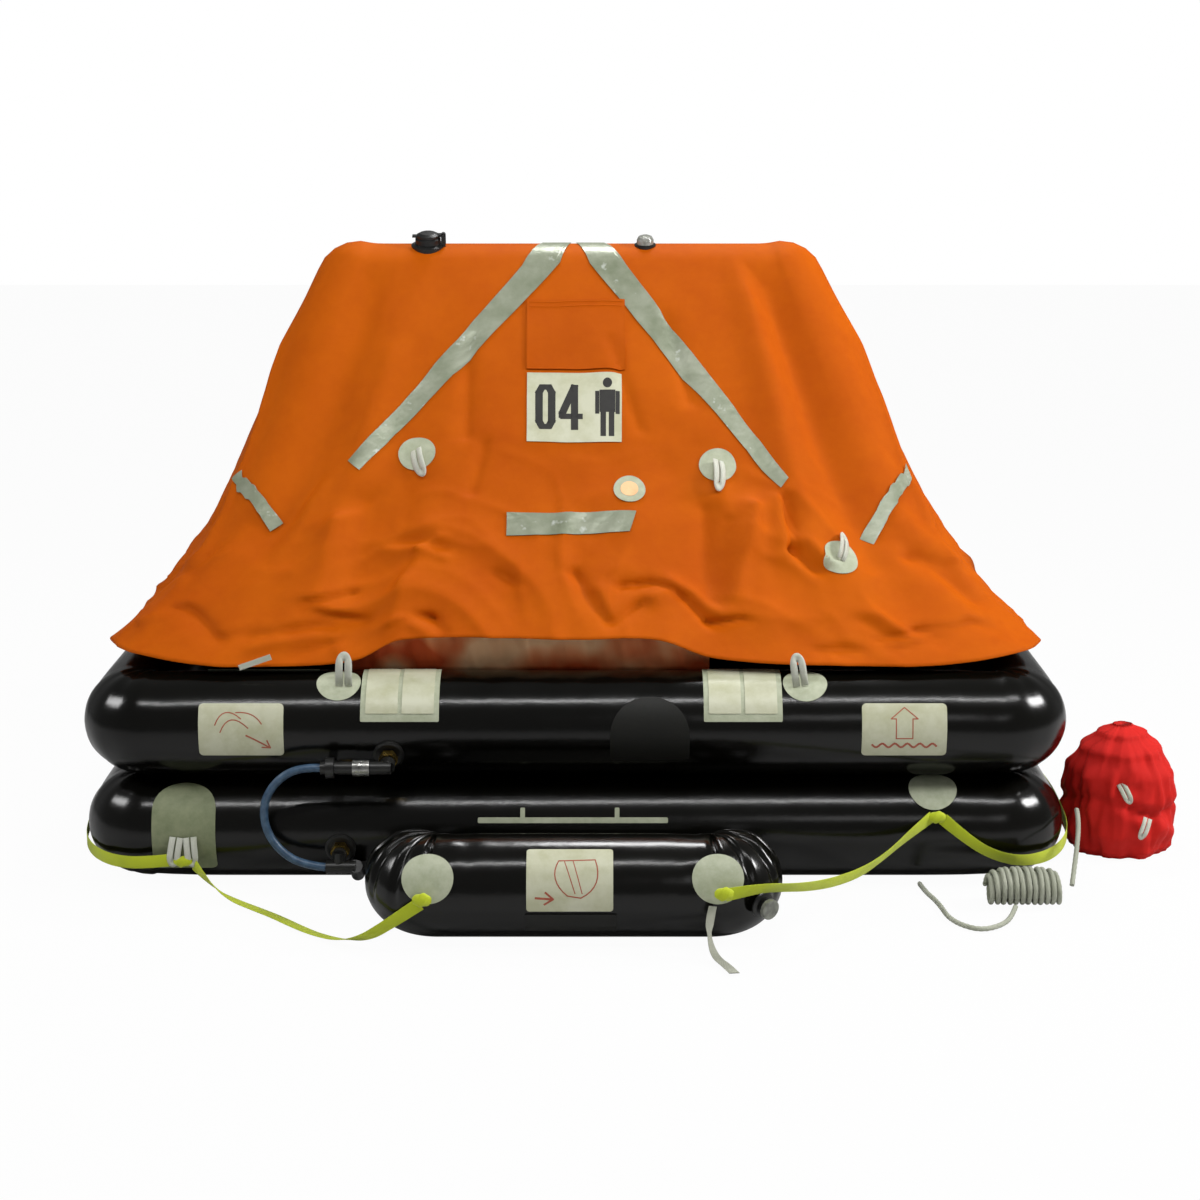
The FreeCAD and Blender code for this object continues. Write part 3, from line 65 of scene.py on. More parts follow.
low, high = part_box("lower_tube")
ring_radius = (high.z - low.z) / 2
ring_half_x, ring_half_y = high.x - ring_radius, high.y - ring_radius
ring_bend = 0.040
lower = Tube("lower_tube", ring_half_x, ring_half_y, ring_bend)
upper = Tube("upper_tube", ring_half_x, ring_half_y, ring_bend)
ramp_low, ramp_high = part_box("ramp_tube")
ramp_radius = (ramp_high.z - ramp_low.z) / 2
ramp = Tube("ramp_tube", ramp_high.x - ramp_radius, -(ramp_low.y + ramp_radius), 0.045)


# ------------------------------------------------------------------------ camera
def make_camera():
    data = bpy.data.cameras.new("camera")
    camera = bpy.data.objects.new("camera", data)
    bpy.context.scene.collection.objects.link(camera)
    data.sensor_width = 36
    data.lens = 72.05
    camera.location = (0.0487, -5.19, 1.534)
    camera.rotation_euler = (math.radians(90 - 12.05), 0, 0)
    bpy.context.scene.camera = camera


make_camera()


# --------------------------------------------------------------------- materials
ALBEDO = 0.62


def srgb(red, green, blue):
    """Linear surface colour that looks like an 8-bit screen colour under the studio light."""
    def channel(value):
        value /= 255
        return ALBEDO * (value / 12.92 if value <= 0.04045 else ((value + 0.055) / 1.055) ** 2.4)
    return channel(red), channel(green), channel(blue), 1.0


class Surface:
    """A procedural material under construction; links read as calls."""

    def __init__(self, name):
        self.material = bpy.data.materials.new(name)
        self.material.use_nodes = True
        self.tree = self.material.node_tree
        self.shader = self.tree.nodes["Principled BSDF"]
        self.place = self.node("ShaderNodeTexCoord").outputs["Object"]

    def node(self, kind, links=None, **settings):
        made = self.tree.nodes.new(kind)
        for key, value in settings.items():
            if key in made.inputs:
                made.inputs[key].default_value = value
            else:
                setattr(made, key, value)
        for key, source in (links or {}).items():
            self.tree.links.new(source, made.inputs[key])
        return made

    def noise(self, scale, detail=4.0, roughness=0.55, stretch=None):
        vector = self.place
        if stretch:
            vector = self.node("ShaderNodeMapping", {"Vector": vector}, Scale=stretch).outputs[0]
        return self.node("ShaderNodeTexNoise", {"Vector": vector}, Scale=scale, Detail=detail,
                         Roughness=roughness).outputs["Fac"]

    def waves(self, scale, direction, distortion=0.0):
        return self.node("ShaderNodeTexWave", {"Vector": self.place}, wave_type="BANDS",
                         bands_direction=direction,
                         Scale=scale, Distortion=distortion).outputs["Fac"]

    def ramp(self, factor, *stops):
        made = self.node("ShaderNodeValToRGB", {"Fac": factor})
        elements = made.color_ramp.elements
        while len(elements) < len(stops):
            elements.new(0.5)
        for element, (position, colour) in zip(elements, stops):
            element.position = position
            element.color = colour
        return made.outputs["Color"]

    def spread(self, factor, low, high):
        return self.node("ShaderNodeMapRange", {"Value": factor},
                         **{"To Min": low, "To Max": high}).outputs[0]

    def product(self, first, second):
        made = self.node("ShaderNodeMath", operation="MULTIPLY")
        self.tree.links.new(first, made.inputs[0])
        self.tree.links.new(second, made.inputs[1])
        return made.outputs[0]

    def total(self, first, second):
        made = self.node("ShaderNodeMath", operation="ADD")
        self.tree.links.new(first, made.inputs[0])
        self.tree.links.new(second, made.inputs[1])
        return made.outputs[0]

    def bump(self, height, strength, distance):
        made = self.node("ShaderNodeBump", {"Height": height}, Strength=strength, Distance=distance)
        self.tree.links.new(made.outputs[0], self.shader.inputs["Normal"])

    def finish(self, colour=None, rough=None, **constants):
        if colour is not None:
            self.tree.links.new(colour, self.shader.inputs["Base Color"])
        if rough is not None:
            self.tree.links.new(rough, self.shader.inputs["Roughness"])
        for key, value in constants.items():
            self.shader.inputs[key.replace("_", " ")].default_value = value
        return self.material


def weave(surface, scale):
    """Height of a plain weave, about 1/scale metres from thread to thread."""
    return surface.product(surface.waves(scale, "X"), surface.waves(scale, "Z"))


def coated_fabric(name, dark, light, rough=(0.24, 0.42)):
    """Rubber-coated fabric of the inflated tubes: smooth, slightly uneven, dusty in places."""
    made = Surface(name)
    dust = made.noise(2.6, 6, 0.62)
    grain = made.noise(900, 2)
    colour = made.ramp(dust, (0.38, dark), (0.66, light))
    made.bump(made.total(made.product(made.noise(26, 3), made.noise(7, 2)), made.spread(grain, 0, 0.06)),
              0.22, 0.004)
    return made.finish(colour, made.spread(made.noise(11, 5), *rough), Specular_IOR_Level=0.32)


def dyed_cloth(name, deep, bright, scale=420, rough=0.72, sheen=0.25, gloss=0.35):
    """Thin coated canopy cloth: even dye, faint pressed creases and a fine weave."""
    made = Surface(name)
    tone = made.noise(3.4, 5, 0.6)
    fleck = made.noise(38, 3)
    colour = made.ramp(made.total(made.spread(tone, 0.1, 0.75), made.spread(fleck, 0, 0.2)), (0.30, deep),
                       (0.62, bright))
    creases = made.total(made.noise(16, 5, 0.6), made.spread(weave(made, scale), 0, 0.10))
    made.bump(creases, 0.32, 0.006)
    return made.finish(colour, Roughness=rough, Sheen_Weight=sheen, Sheen_Roughness=0.5,
                       Specular_IOR_Level=gloss)


def lining_cloth(name):
    """Thin inner lining: deep red where it is doubled, pale peach where light comes through, painted into its
    colour as random patches of painted shade and painted light.
    """
    made = Surface(name)
    painted_light_zone = made.noise(7.5, 2, 0.4)
    # painted light and shade: noise patches from deep red to pale peach stand in for light shining through the
    # cloth, and colours brighter than the other materials make up for its shade
    colour = made.ramp(painted_light_zone, (0.42, (0.60, 0.09, 0.02, 1)), (0.50, (0.78, 0.26, 0.10, 1)),
                       (0.60, (0.92, 0.56, 0.30, 1)))
    made.bump(made.noise(30, 5, 0.6), 0.4, 0.006)
    return made.finish(colour, Roughness=0.7, Specular_IOR_Level=0.2)


def film(name, dark, light):
    """Printed plastic film glued on: cream, lightly soiled."""
    made = Surface(name)
    colour = made.ramp(made.noise(21, 6, 0.65), (0.36, dark), (0.6, light))
    made.bump(made.noise(60, 3), 0.12, 0.002)
    return made.finish(colour, made.spread(made.noise(33, 4), 0.38 - 0.08, 0.38 + 0.1))


def tape(name):
    """Grey-green reflective tape: fine square cells, with small bright glints that are painted highlights in its
    colour.
    """
    made = Surface(name)
    base = made.ramp(made.noise(17, 5, 0.6), (0.30, srgb(150, 160, 130)), (0.66, srgb(186, 192, 168)))
    cells = made.node("ShaderNodeTexVoronoi", {"Vector": made.place}, Scale=90.0).outputs["Distance"]
    # painted highlight: near-white glints mixed into the tape colour wherever a noise is high
    painted_glint = made.ramp(made.noise(24, 3, 0.7), (0.63, (0, 0, 0, 1)), (0.72, (1, 1, 1, 1)))
    mix = made.node("ShaderNodeMix", {"Factor": painted_glint}, data_type="RGBA")
    made.tree.links.new(base, mix.inputs["A"])
    mix.inputs["B"].default_value = srgb(232, 238, 226)
    made.bump(made.total(made.spread(cells, 0, 0.35), made.noise(34, 4)), 0.4, 0.002)
    return made.finish(mix.outputs["Result"], made.spread(made.noise(40, 3), 0.22, 0.45), Metallic=0.15)


def woven(name, dark, light, scale=900.0):
    """Webbing, rope and patch cloth: visible diagonal weave."""
    made = Surface(name)
    threads = made.total(made.waves(scale, "DIAGONAL"), made.waves(scale * 0.8, "Z"))
    colour = made.ramp(made.total(made.spread(threads, 0, 0.3), made.noise(14, 5)), (0.35, dark),
                       (0.8, light))
    made.bump(threads, 0.35, 0.0012)
    return made.finish(colour, Roughness=0.7, Sheen_Weight=0.2, Sheen_Roughness=0.5)


def patch_cloth(name, dark, light):
    """Glued grey patch cloth, mottled where the glue shows through."""
    made = Surface(name)
    colour = made.ramp(made.noise(30, 7, 0.7), (0.34, dark), (0.64, light))
    made.bump(made.total(made.noise(45, 3), made.spread(weave(made, 700), 0, 0.2)), 0.25, 0.0015)
    return made.finish(colour, made.spread(made.noise(28, 4), 0.45, 0.65))


def moulded(name, dark, light, rough=(0.3, 0.45)):
    """Moulded plastic or rubber fitting, lightly scuffed."""
    made = Surface(name)
    colour = made.ramp(made.noise(60, 5, 0.6), (0.4, dark), (0.62, light))
    made.bump(made.noise(320, 2), 0.12, 0.0006)
    return made.finish(colour, made.spread(made.noise(80, 4), *rough))


def metal(name, dark, light):
    """Machined metal with turning marks and some tarnish."""
    made = Surface(name)
    colour = made.ramp(made.noise(75, 5, 0.6), (0.35, dark), (0.62, light))
    made.bump(made.waves(1600, "X"), 0.10, 0.0003)
    return made.finish(colour, made.spread(made.noise(120, 4), 0.2, 0.38), Metallic=1.0)


def clear_plastic(name):
    made = Surface(name)
    colour = made.ramp(made.noise(90, 4), (0.4, srgb(206, 208, 196)), (0.6, srgb(236, 238, 230)))
    made.bump(made.noise(200, 2), 0.06, 0.0005)
    return made.finish(colour, made.spread(made.noise(60, 3), 0.08, 0.2), Transmission_Weight=0.45, IOR=1.49)


BLACK = coated_fabric("black_fabric", srgb(7, 7, 4), srgb(13, 12, 8), (0.13, 0.24))
GREY = coated_fabric("grey_fabric", srgb(70, 70, 66), srgb(96, 95, 88), (0.5, 0.7))
ORANGE = dyed_cloth("orange_cloth", srgb(218, 92, 0), srgb(238, 112, 2), rough=0.60, sheen=0.0, gloss=0.06)
POCKET = dyed_cloth("pocket_cloth", srgb(212, 88, 0), srgb(232, 106, 2), rough=0.60, sheen=0.0, gloss=0.06)
# the lining colour holds painted light coming through the cloth and painted shade
CURTAIN = lining_cloth("curtain_cloth")
CREAM = film("cream_film", srgb(224, 225, 186), srgb(242, 243, 212))
INK = moulded("black_ink", srgb(26, 24, 20), srgb(34, 32, 26), (0.5, 0.7))
RED_INK = moulded("red_ink", srgb(196, 92, 66), srgb(210, 116, 88), (0.5, 0.7))
TAPE = tape("reflective_tape")
PATCH = patch_cloth("patch_cloth", srgb(196, 204, 170), srgb(224, 230, 200))
MATTE = coated_fabric("matte_patch", srgb(20, 20, 15), srgb(30, 30, 23), (0.5, 0.66))
TONGUE = patch_cloth("tongue_cloth", srgb(140, 150, 110), srgb(166, 174, 134))
LOOP = woven("loop_webbing", srgb(222, 228, 200), srgb(246, 248, 232))
LINE = woven("lifeline_webbing", srgb(206, 226, 4), srgb(238, 255, 16))
ROPE = woven("white_rope", srgb(160, 166, 136), srgb(214, 218, 196), 1500.0)
STRAP = woven("strap_webbing", srgb(150, 152, 130), srgb(206, 208, 188))
RED = dyed_cloth("drogue_cloth", srgb(212, 24, 18), srgb(252, 46, 38), 300, sheen=0.0, gloss=0.15)
PLASTIC = moulded("black_plastic", srgb(17, 17, 16), srgb(30, 30, 27))
GREY_PLASTIC = moulded("grey_plastic", srgb(120, 122, 112), srgb(160, 162, 150))
HOSE = moulded("hose_rubber", srgb(58, 88, 118), srgb(84, 116, 146), (0.3, 0.5))
BRASS = metal("brass", srgb(150, 118, 48), srgb(214, 182, 96))
STEEL = metal("steel", srgb(150, 150, 146), srgb(206, 206, 200))
PAINT = moulded("cylinder_paint", srgb(176, 178, 178), srgb(200, 202, 202))
CLEAR = clear_plastic("clear_plastic")

NODE_FINISH = {
    BLACK: ["arch_tube", "arch_foot_collars", "ballast_pockets"],
    GREY: ["floor_sheet", "ramp_deck"],
    PLASTIC: ["upper_elbow", "hose_sleeve", "hose_clip", "feed_tee", "arch_valve_body", "arch_valve_lid",
              "lamp_base", "ramp_valve_body", "upper_inlet_valve", "lower_inlet_valve"],
    BRASS: ["upper_union_nut", "lower_union_nut", "cylinder_head"],
    STEEL: ["hose_ferrule", "canopy_eyelet"],
    GREY_PLASTIC: ["ramp_valve_cap"],
    PAINT: ["gas_cylinder"],
    STRAP: ["cylinder_straps"],
    CLEAR: ["lamp_lens"],
}
for finish, names in NODE_FINISH.items():
    for name in names:
        nodes[name].data.materials.clear()
        nodes[name].data.materials.append(finish)


# ------------------------------------------------------------------ mesh helpers
def piece(name, bm, material, replaced=()):
    """Turn a bmesh into a named, smooth piece that rides on the raft."""
    mesh = bpy.data.meshes.new(name)
    bm.to_mesh(mesh)
    bm.free()
    for polygon in mesh.polygons:
        polygon.use_smooth = True
    mesh.materials.append(material)
    made = bpy.data.objects.new(name, mesh)
    bpy.context.scene.collection.objects.link(made)
    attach(made, "raft")
    if replaced:
        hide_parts(*replaced)
    return made


def add_grid(bm, rows, close_u=False, close_v=False):
    """Faces between rows of points; returns the rows of vertices."""
    grid = [[bm.verts.new(point) for point in row] for row in rows]
    count_u, count_v = len(grid), len(grid[0])
    for i in range(count_u - (0 if close_u else 1)):
        for j in range(count_v - (0 if close_v else 1)):
            following, beside = (i + 1) % count_u, (j + 1) % count_v
            bm.faces.new((grid[i][j], grid[following][j], grid[following][beside], grid[i][beside]))
    return grid


def steps(start, end, count):
    return [start + (end - start) * index / count for index in range(count + 1)]


def solidify(made, thickness, offset):
    modifier = made.modifiers.new("thickness", "SOLIDIFY")
    modifier.thickness = thickness
    modifier.offset = offset
    apply_modifiers(made)


def apply_modifiers(made):
    bpy.context.view_layer.update()
    evaluated = made.evaluated_get(bpy.context.evaluated_depsgraph_get())
    mesh = bpy.data.meshes.new_from_object(evaluated)
    made.modifiers.clear()
    made.data = mesh


# ------------------------------------------------------------------------- cords
def nurbs_curve(name, points):
    """A curve object of one smooth open spline through the given control points."""
    data = bpy.data.curves.new(name, "CURVE")
    data.dimensions = "3D"
    data.resolution_u = 12
    spline = data.splines.new("NURBS")
    spline.points.add(len(points) - 1)
    for control, point in zip(spline.points, points):
        control.co = (*point, 1)
    spline.order_u = 3
    spline.use_endpoint_u = True
    made = bpy.data.objects.new(name, data)
    bpy.context.scene.collection.objects.link(made)
    return made


def dress(made, material, replaced):
    made.data.materials.append(material)
    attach(made, "raft")
    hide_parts(*replaced)
    return made


def read_line(made):
    """The points of a curve's smooth line."""
    bpy.context.view_layer.update()
    data = made.data
    kept = data.bevel_depth, data.extrude
    data.bevel_depth = data.extrude = 0
    mesh = bpy.data.meshes.new_from_object(made.evaluated_get(bpy.context.evaluated_depsgraph_get()))
    data.bevel_depth, data.extrude = kept
    line = [vertex.co.copy() for vertex in mesh.vertices]
    bpy.data.meshes.remove(mesh)
    return line


def webbing(name, points, width, material, replaced, turns):
    """Flat webbing on a smooth route; turns are the tilts in degrees at its control points."""
    made = nurbs_curve(name, points)
    for control, turn in zip(made.data.splines[0].points, turns):
        control.tilt = math.radians(turn)
    made.data.twist_mode = "Z_UP"
    made.data.extrude = width / 2 - WEBBING_EDGE
    made.data.bevel_depth = WEBBING_EDGE
    made.data.bevel_resolution = 1
    dress(made, material, replaced)
    return made


def laid_rope(name, points, material, replaced):
    """Rope of three strands on a smooth route."""
    diameter = ROPE_DIAMETER
    guide = nurbs_curve(name + "_guide", points)
    line = read_line(guide)
    bpy.data.objects.remove(guide)
    line = spaced(line, 0.0028)
    bm = bmesh.new()
    rows, travelled = [], 0.0
    side = Z.cross(line[1] - line[0])
    side = side.normalized() if side.length > 1e-6 else X.copy()
    for index, point in enumerate(line):
        ahead = (line[min(index + 1, len(line) - 1)] - line[max(index - 1, 0)]).normalized()
        side = (side - ahead * side.dot(ahead)).normalized()
        up = ahead.cross(side)
        if index:
            travelled += (point - line[index - 1]).length
        twist = 2 * math.pi * travelled / (ROPE_LAY * diameter)
        row = []
        for corner in range(12):
            angle = 2 * math.pi * corner / 12
            radius = diameter / 2 * (0.84 + 0.16 * abs(math.cos(1.5 * (angle - twist))))
            row.append(point + (side * math.cos(angle) + up * math.sin(angle)) * radius)
        rows.append(row)
    grid = add_grid(bm, rows, close_v=True)
    bm.faces.new(list(reversed(grid[0])))
    bm.faces.new(grid[-1])
    made = piece(name, bm, material, replaced)
    return made


def spaced(line, gap):
    """The same line with points about a gap apart."""
    result, carried = [line[0]], 0.0
    for start, end in zip(line, line[1:]):
        length = (end - start).length
        while carried + length >= gap and length > 0:
            part = (gap - carried) / length
            start = start.lerp(end, part)
            result.append(start)
            length = (end - start).length
            carried = 0.0
        carried += length
    result.append(line[-1])
    return result


def route(*rows):
    return [Vector(row) / 1000 for row in rows]


LINE_WIDTH = 0.025
WEBBING_EDGE = 0.0006  # radius of a webbing edge, half its thickness
ROPE_DIAMETER = 0.010
ROPE_LAY = 3.4  # diameters from one turn of a strand to the next
GRAB_LEFT = route(
    (-985, -290, 103), (-989, -350, 96), (-990, -412, 86), (-989, -474, 76), (-987, -536, 68),
    (-977, -598, 62), (-948, -660, 58), (-900, -708, 56), (-842, -728, 58), (-784, -732, 66))
GRAB_DIP = route(
    (-740, -732, 56), (-702, -764, 24), (-655, -802, 8), (-606, -846, 6), (-560, -892, 6),
    (-518, -942, 6), (-474, -988, 6), (-424, -1024, 8), (-378, -1056, 24), (-332, -1076, 58),
    (-276, -1075, 96))
GRAB_RIGHT = route(
    (275, -1073, 112), (336, -1064, 122), (392, -1020, 108), (440, -966, 92), (492, -914, 84),
    (546, -862, 86), (596, -806, 100), (644, -756, 124), (692, -722, 150))
GRAB_CORNER = route(
    (714, -722, 146), (760, -734, 108), (810, -738, 78), (866, -728, 62), (920, -697, 60),
    (960, -650, 66), (983, -594, 76), (990, -532, 84), (990, -470, 92), (990, -408, 98), (988, -348, 102),
    (985, -290, 103))
webbing("grab_line_a", GRAB_LEFT, LINE_WIDTH, LINE, ["grab_line_left"], [0] * 10)
webbing("grab_line_b", GRAB_DIP, LINE_WIDTH, LINE, ["grab_line_dip"],
        [0, 40, 80, 84, 84, 84, 82, 80, 50, 20, 0])
webbing("grab_line_c", GRAB_RIGHT, LINE_WIDTH, LINE, ["grab_line_right"],
        [0, 30, 40, 30, 20, 20, 30, 20, 0])
webbing("grab_line_d", GRAB_CORNER, LINE_WIDTH, LINE, ["grab_line_corner"],
        [0, 20, 30, 20, 0, 0, 0, 0, 0, 0, 0, 0])
webbing("boarding_handline", route(
    (252, -1076, 92), (245, -1082, 62), (246, -1090, 32), (256, -1112, 8), (274, -1144, 5), (286, -1182, 5)),
    0.020, STRAP, ["ramp_strap"], [0, 20, 45, 80, 86, 86])


def knot(name, at, size, material):
    """A small pulled-tight knot of webbing: a lump wrapped by slanting turns."""
    bm = bmesh.new()
    rows = []
    for part in steps(0.04, 0.96, 22):
        reach = math.sin(math.pi * part) ** 0.6
        row = []
        for index in range(40):
            turn = 2 * math.pi * index / 40
            wrap = 1 - 0.22 * abs(math.sin(1.5 * turn + 7 * part)) ** 0.5 * math.sin(math.pi * part)
            row.append(Vector((at[0] / 1000 + size[0] / 1000 * (part - 0.5),
                               at[1] / 1000 + size[1] / 2000 * reach * wrap * math.cos(turn),
                               at[2] / 1000 + size[2] / 2000 * reach * wrap * math.sin(turn))))
        rows.append(row)
    grid = add_grid(bm, rows, close_v=True)
    bm.faces.new(list(reversed(grid[0])))
    bm.faces.new(grid[-1])
    piece(name, bm, material)


knot("line_knot_a", (-272, -1078, 104), (38, 18, 30), LINE)
knot("line_knot_b", (272, -1080, 116), (38, 18, 30), LINE)
knot("line_knot_c", (703, -724, 150), (36, 18, 28), LINE)
knot("line_knot_d", (-762, -730, 62), (40, 18, 26), LINE)


# ------------------------------------------------------------ inflated tubes
def ring_path(tube, gap):
    """(point, outward) pairs along the closed centreline of a rounded rectangle."""
    x, y, bend = tube.half_x, tube.half_y, tube.bend
    stops = []
    corners = [(x, -y, 0), (x, y, 90), (-x, y, 180), (-x, -y, 270)]
    for index, (corner_x, corner_y, start) in enumerate(corners):
        pivot = Vector((corner_x - math.copysign(bend, corner_x), corner_y - math.copysign(bend, corner_y),
                        tube.z))
        for turn in steps(start - 90, start, 14):
            out = Vector((math.cos(math.radians(turn)), math.sin(math.radians(turn)), 0))
            stops.append((pivot + out * bend, out, pivot, tube.radius))
        next_x, next_y = corners[(index + 1) % 4][:2]
        begin = stops[-1][0]
        out = stops[-1][1]
        next_pivot = Vector((next_x - math.copysign(bend, next_x), next_y - math.copysign(bend, next_y),
                             tube.z))
        end = next_pivot + out * bend
        count = max(2, int((end - begin).length / gap))
        stops += [(begin.lerp(end, part), out, None, tube.radius) for part in steps(0, 1, count)[1:-1]]
    return stops


def tube_rows(stops, sides, crease):
    """Rows of points round a tube: each stop is (point, outward, pivot or None, radius)."""
    rows = []
    for point, out, pivot, full in stops:
        row = []
        for index in range(sides):
            angle = 2 * math.pi * index / sides
            radius = full - 0.0003 - crease(point, out, angle)
            reach = radius * math.cos(angle)
            if pivot is not None:
                reach = max(reach, -(point - pivot).length)
            row.append(point + out * reach + Z * (radius * math.sin(angle)))
        rows.append(row)
    return rows


def ring_piece(name, node, tube, seed):
    """A buoyancy ring, its fabric gathered in small creases at the four corners."""
    corner = Vector((tube.half_x, tube.half_y))

    def crease(point, out, angle):
        away = (Vector((abs(point.x), abs(point.y))) - corner).length
        near = math.exp(-(away / 0.085) ** 2)
        if near < 0.02:
            return 0.0
        turn = math.degrees(math.atan2(abs(out.y), abs(out.x)))
        lobes = max(0.0, math.cos(math.radians(turn * 12))) ** 3
        strength = 0.35 + 0.65 * abs(math.sin(angle))
        ripple = noise.noise(Vector((point.x * 30, point.y * 30, angle * 1.7 + seed)))
        return near * (0.0035 * strength * lobes + 0.0022 * (ripple + 0.4) * strength)

    bm = bmesh.new()
    add_grid(bm, tube_rows(ring_path(tube, 0.03), 72, crease), close_u=True, close_v=True)
    return piece(name, bm, BLACK, [node])


ring_piece("lower_ring", "lower_tube", lower, 1.0)
ring_piece("upper_ring", "upper_tube", upper, 7.0)


def ramp_piece():
    """The U-shaped ramp tube: legs that narrow towards the hull, puckered where they turn."""
    bend = ramp.bend
    leg_radius = 0.044
    left, right, front = -ramp.half_x, ramp.half_x, ramp.front
    leg_rows = []
    for part in steps(0, 1, 16)[:-1]:
        radius = leg_radius + (ramp.radius - leg_radius) * part
        y = lower.front + (front + bend - lower.front) * part
        leg_rows.append((y, radius))
    stops = [(Vector((left, y, radius)), Vector((-1, 0, 0)), None, radius) for y, radius in leg_rows]
    for side, start in ((-1, 180), (1, 270)):
        pivot = Vector((side * (ramp.half_x - bend), front + bend, ramp.z))
        for turn in steps(start, start + 90, 40):
            out = Vector((math.cos(math.radians(turn)), math.sin(math.radians(turn)), 0))
            stops.append((pivot + out * bend, out, pivot, ramp.radius))
        if side < 0:
            for x in steps(left + bend, right - bend, 48)[1:-1]:
                stops.append((Vector((x, front, ramp.z)), Vector((0, -1, 0)), None, ramp.radius))
    stops += [(Vector((right, y, radius)), Vector((1, 0, 0)), None, radius)
              for y, radius in reversed(leg_rows)]

    def crease(point, out, angle):
        corner = Vector((ramp.half_x, front))
        away = (Vector((abs(point.x), point.y)) - corner).length
        near = math.exp(-(away / 0.10) ** 2)
        upper_side = max(0.0, math.sin(angle + 0.25)) ** 0.7
        turn = math.degrees(math.atan2(-out.y, abs(out.x)))
        folds = max(0.0, math.sin(math.radians(turn * 14 + 40 * noise.noise(point * 14)))) ** 2
        ripple = noise.noise(Vector((point.x * 34, point.y * 34, angle * 2.2)))
        return near * upper_side * (0.0115 * folds + 0.004 * (ripple + 0.3))

    bm = bmesh.new()
    add_grid(bm, tube_rows(stops, 96, crease), close_v=True)
    return piece("ramp", bm, BLACK, ["ramp_tube"])


ramp_piece()


# -------------------------------------------------------------------- canopy
ARCH_HEIGHT = 1.126
ARCH_RADIUS = 0.075
ARCH_BEND = 0.020
CLOTH = 0.003
WRAP_SHARE = 0.10
CLOTH_LENGTH = 0.95
ARCH_SHIFT = -0.015
arch_corner = Vector((0.458, 0, ARCH_HEIGHT))
arch_foot = Vector((0.756, 0, 0.400))
leg_direction = (arch_foot - arch_corner).normalized()
shoulder_turn = math.acos(leg_direction.x)
shoulder_cut = ARCH_BEND * math.tan(shoulder_turn / 2)
top_half = arch_corner.x - shoulder_cut
shoulder_arc = ARCH_BEND * shoulder_turn
arch_half = top_half + shoulder_arc + (arch_foot - arch_corner).length - shoulder_cut
shoulder_share = (top_half + shoulder_arc / 2) / arch_half
SHOULDER_PUSH = 0.008
cabin_middle = Vector((0, 0, 0.42))

# Hem of each half: share across the cloth, then x, y, z in mm.
HEM_RIGHT = [
    (0.00, 0, -622, 481), (0.08, 160, -622, 480), (0.13, 270, -632, 446), (0.24, 520, -636, 432),
    (0.32, 720, -636, 432), (0.385, 876, -588, 448), (0.45, 932, -480, 450), (0.56, 930, -340, 428),
    (1.00, 905, 0, 424),
]
HEM_LEFT = [
    (0.00, 0, -622, 481), (0.155, -338, -622, 480), (0.20, -433, -632, 440), (0.27, -600, -636, 430),
    (0.33, -745, -636, 434), (0.385, -876, -592, 450), (0.45, -930, -480, 452), (0.56, -930, -340, 428),
    (1.00, -905, 0, 424),
]
HEM_REAR = [
    (0.00, 0, 632, 436), (0.32, 720, 634, 432), (0.385, 862, 590, 440), (0.45, 926, 480, 440),
    (0.56, 930, 340, 426), (1.00, 905, 0, 424),
]
# Folds: start share and drop, end share and drop, half width and height in mm.
BROAD_FOLDS = [
    (-0.385, 0.04, -0.392, 0.86, 20, 20), (0.385, 0.04, 0.392, 0.80, 20, 24),
    (-0.325, 0.10, -0.330, 0.84, 40, -24), (0.330, 0.10, 0.325, 0.88, 34, -30),
    (-0.25, 0.30, -0.265, 0.98, 28, 16), (0.275, 0.10, 0.255, 0.78, 26, 16),
    (0.175, 0.62, 0.165, 0.90, 20, 14), (0.20, 0.66, 0.185, 0.96, 18, 10),
    (-0.29, 0.60, -0.335, 0.92, 24, 16), (0.40, 0.66, 0.47, 0.95, 26, -20),
    (-0.41, 0.62, -0.46, 0.95, 26, -18),
    (0.42, 0.55, 0.43, 0.98, 26, 16), (-0.42, 0.55, -0.43, 0.98, 26, 14), (-0.05, 0.72, -0.02, 0.98, 34, 7),
]
REAR_FOLDS = [
    (-0.385, 0.04, -0.392, 0.90, 22, 18), (0.385, 0.04, 0.392, 0.90, 22, 18),
    (-0.12, 0.50, -0.13, 1.00, 60, 10),
    (0.16, 0.50, 0.17, 1.00, 60, 10),
]


def arch_frame(share):
    """Point on the arch centreline and its outward direction; share runs -1 to 1."""
    side = -1 if share < 0 else 1
    distance = abs(share) * arch_half
    if distance <= top_half:
        point, tilt = Vector((distance, 0, ARCH_HEIGHT)), 0.0
    elif distance <= top_half + shoulder_arc:
        tilt = (distance - top_half) / ARCH_BEND
        point = Vector((top_half + ARCH_BEND * math.sin(tilt), 0,
                        ARCH_HEIGHT - ARCH_BEND * (1 - math.cos(tilt))))
    else:
        tilt = shoulder_turn
        point = arch_corner + leg_direction * (shoulder_cut + distance - top_half - shoulder_arc)
    return (Vector((side * point.x + ARCH_SHIFT, 0, point.z)),
            Vector((side * math.sin(tilt), 0, math.cos(tilt))))


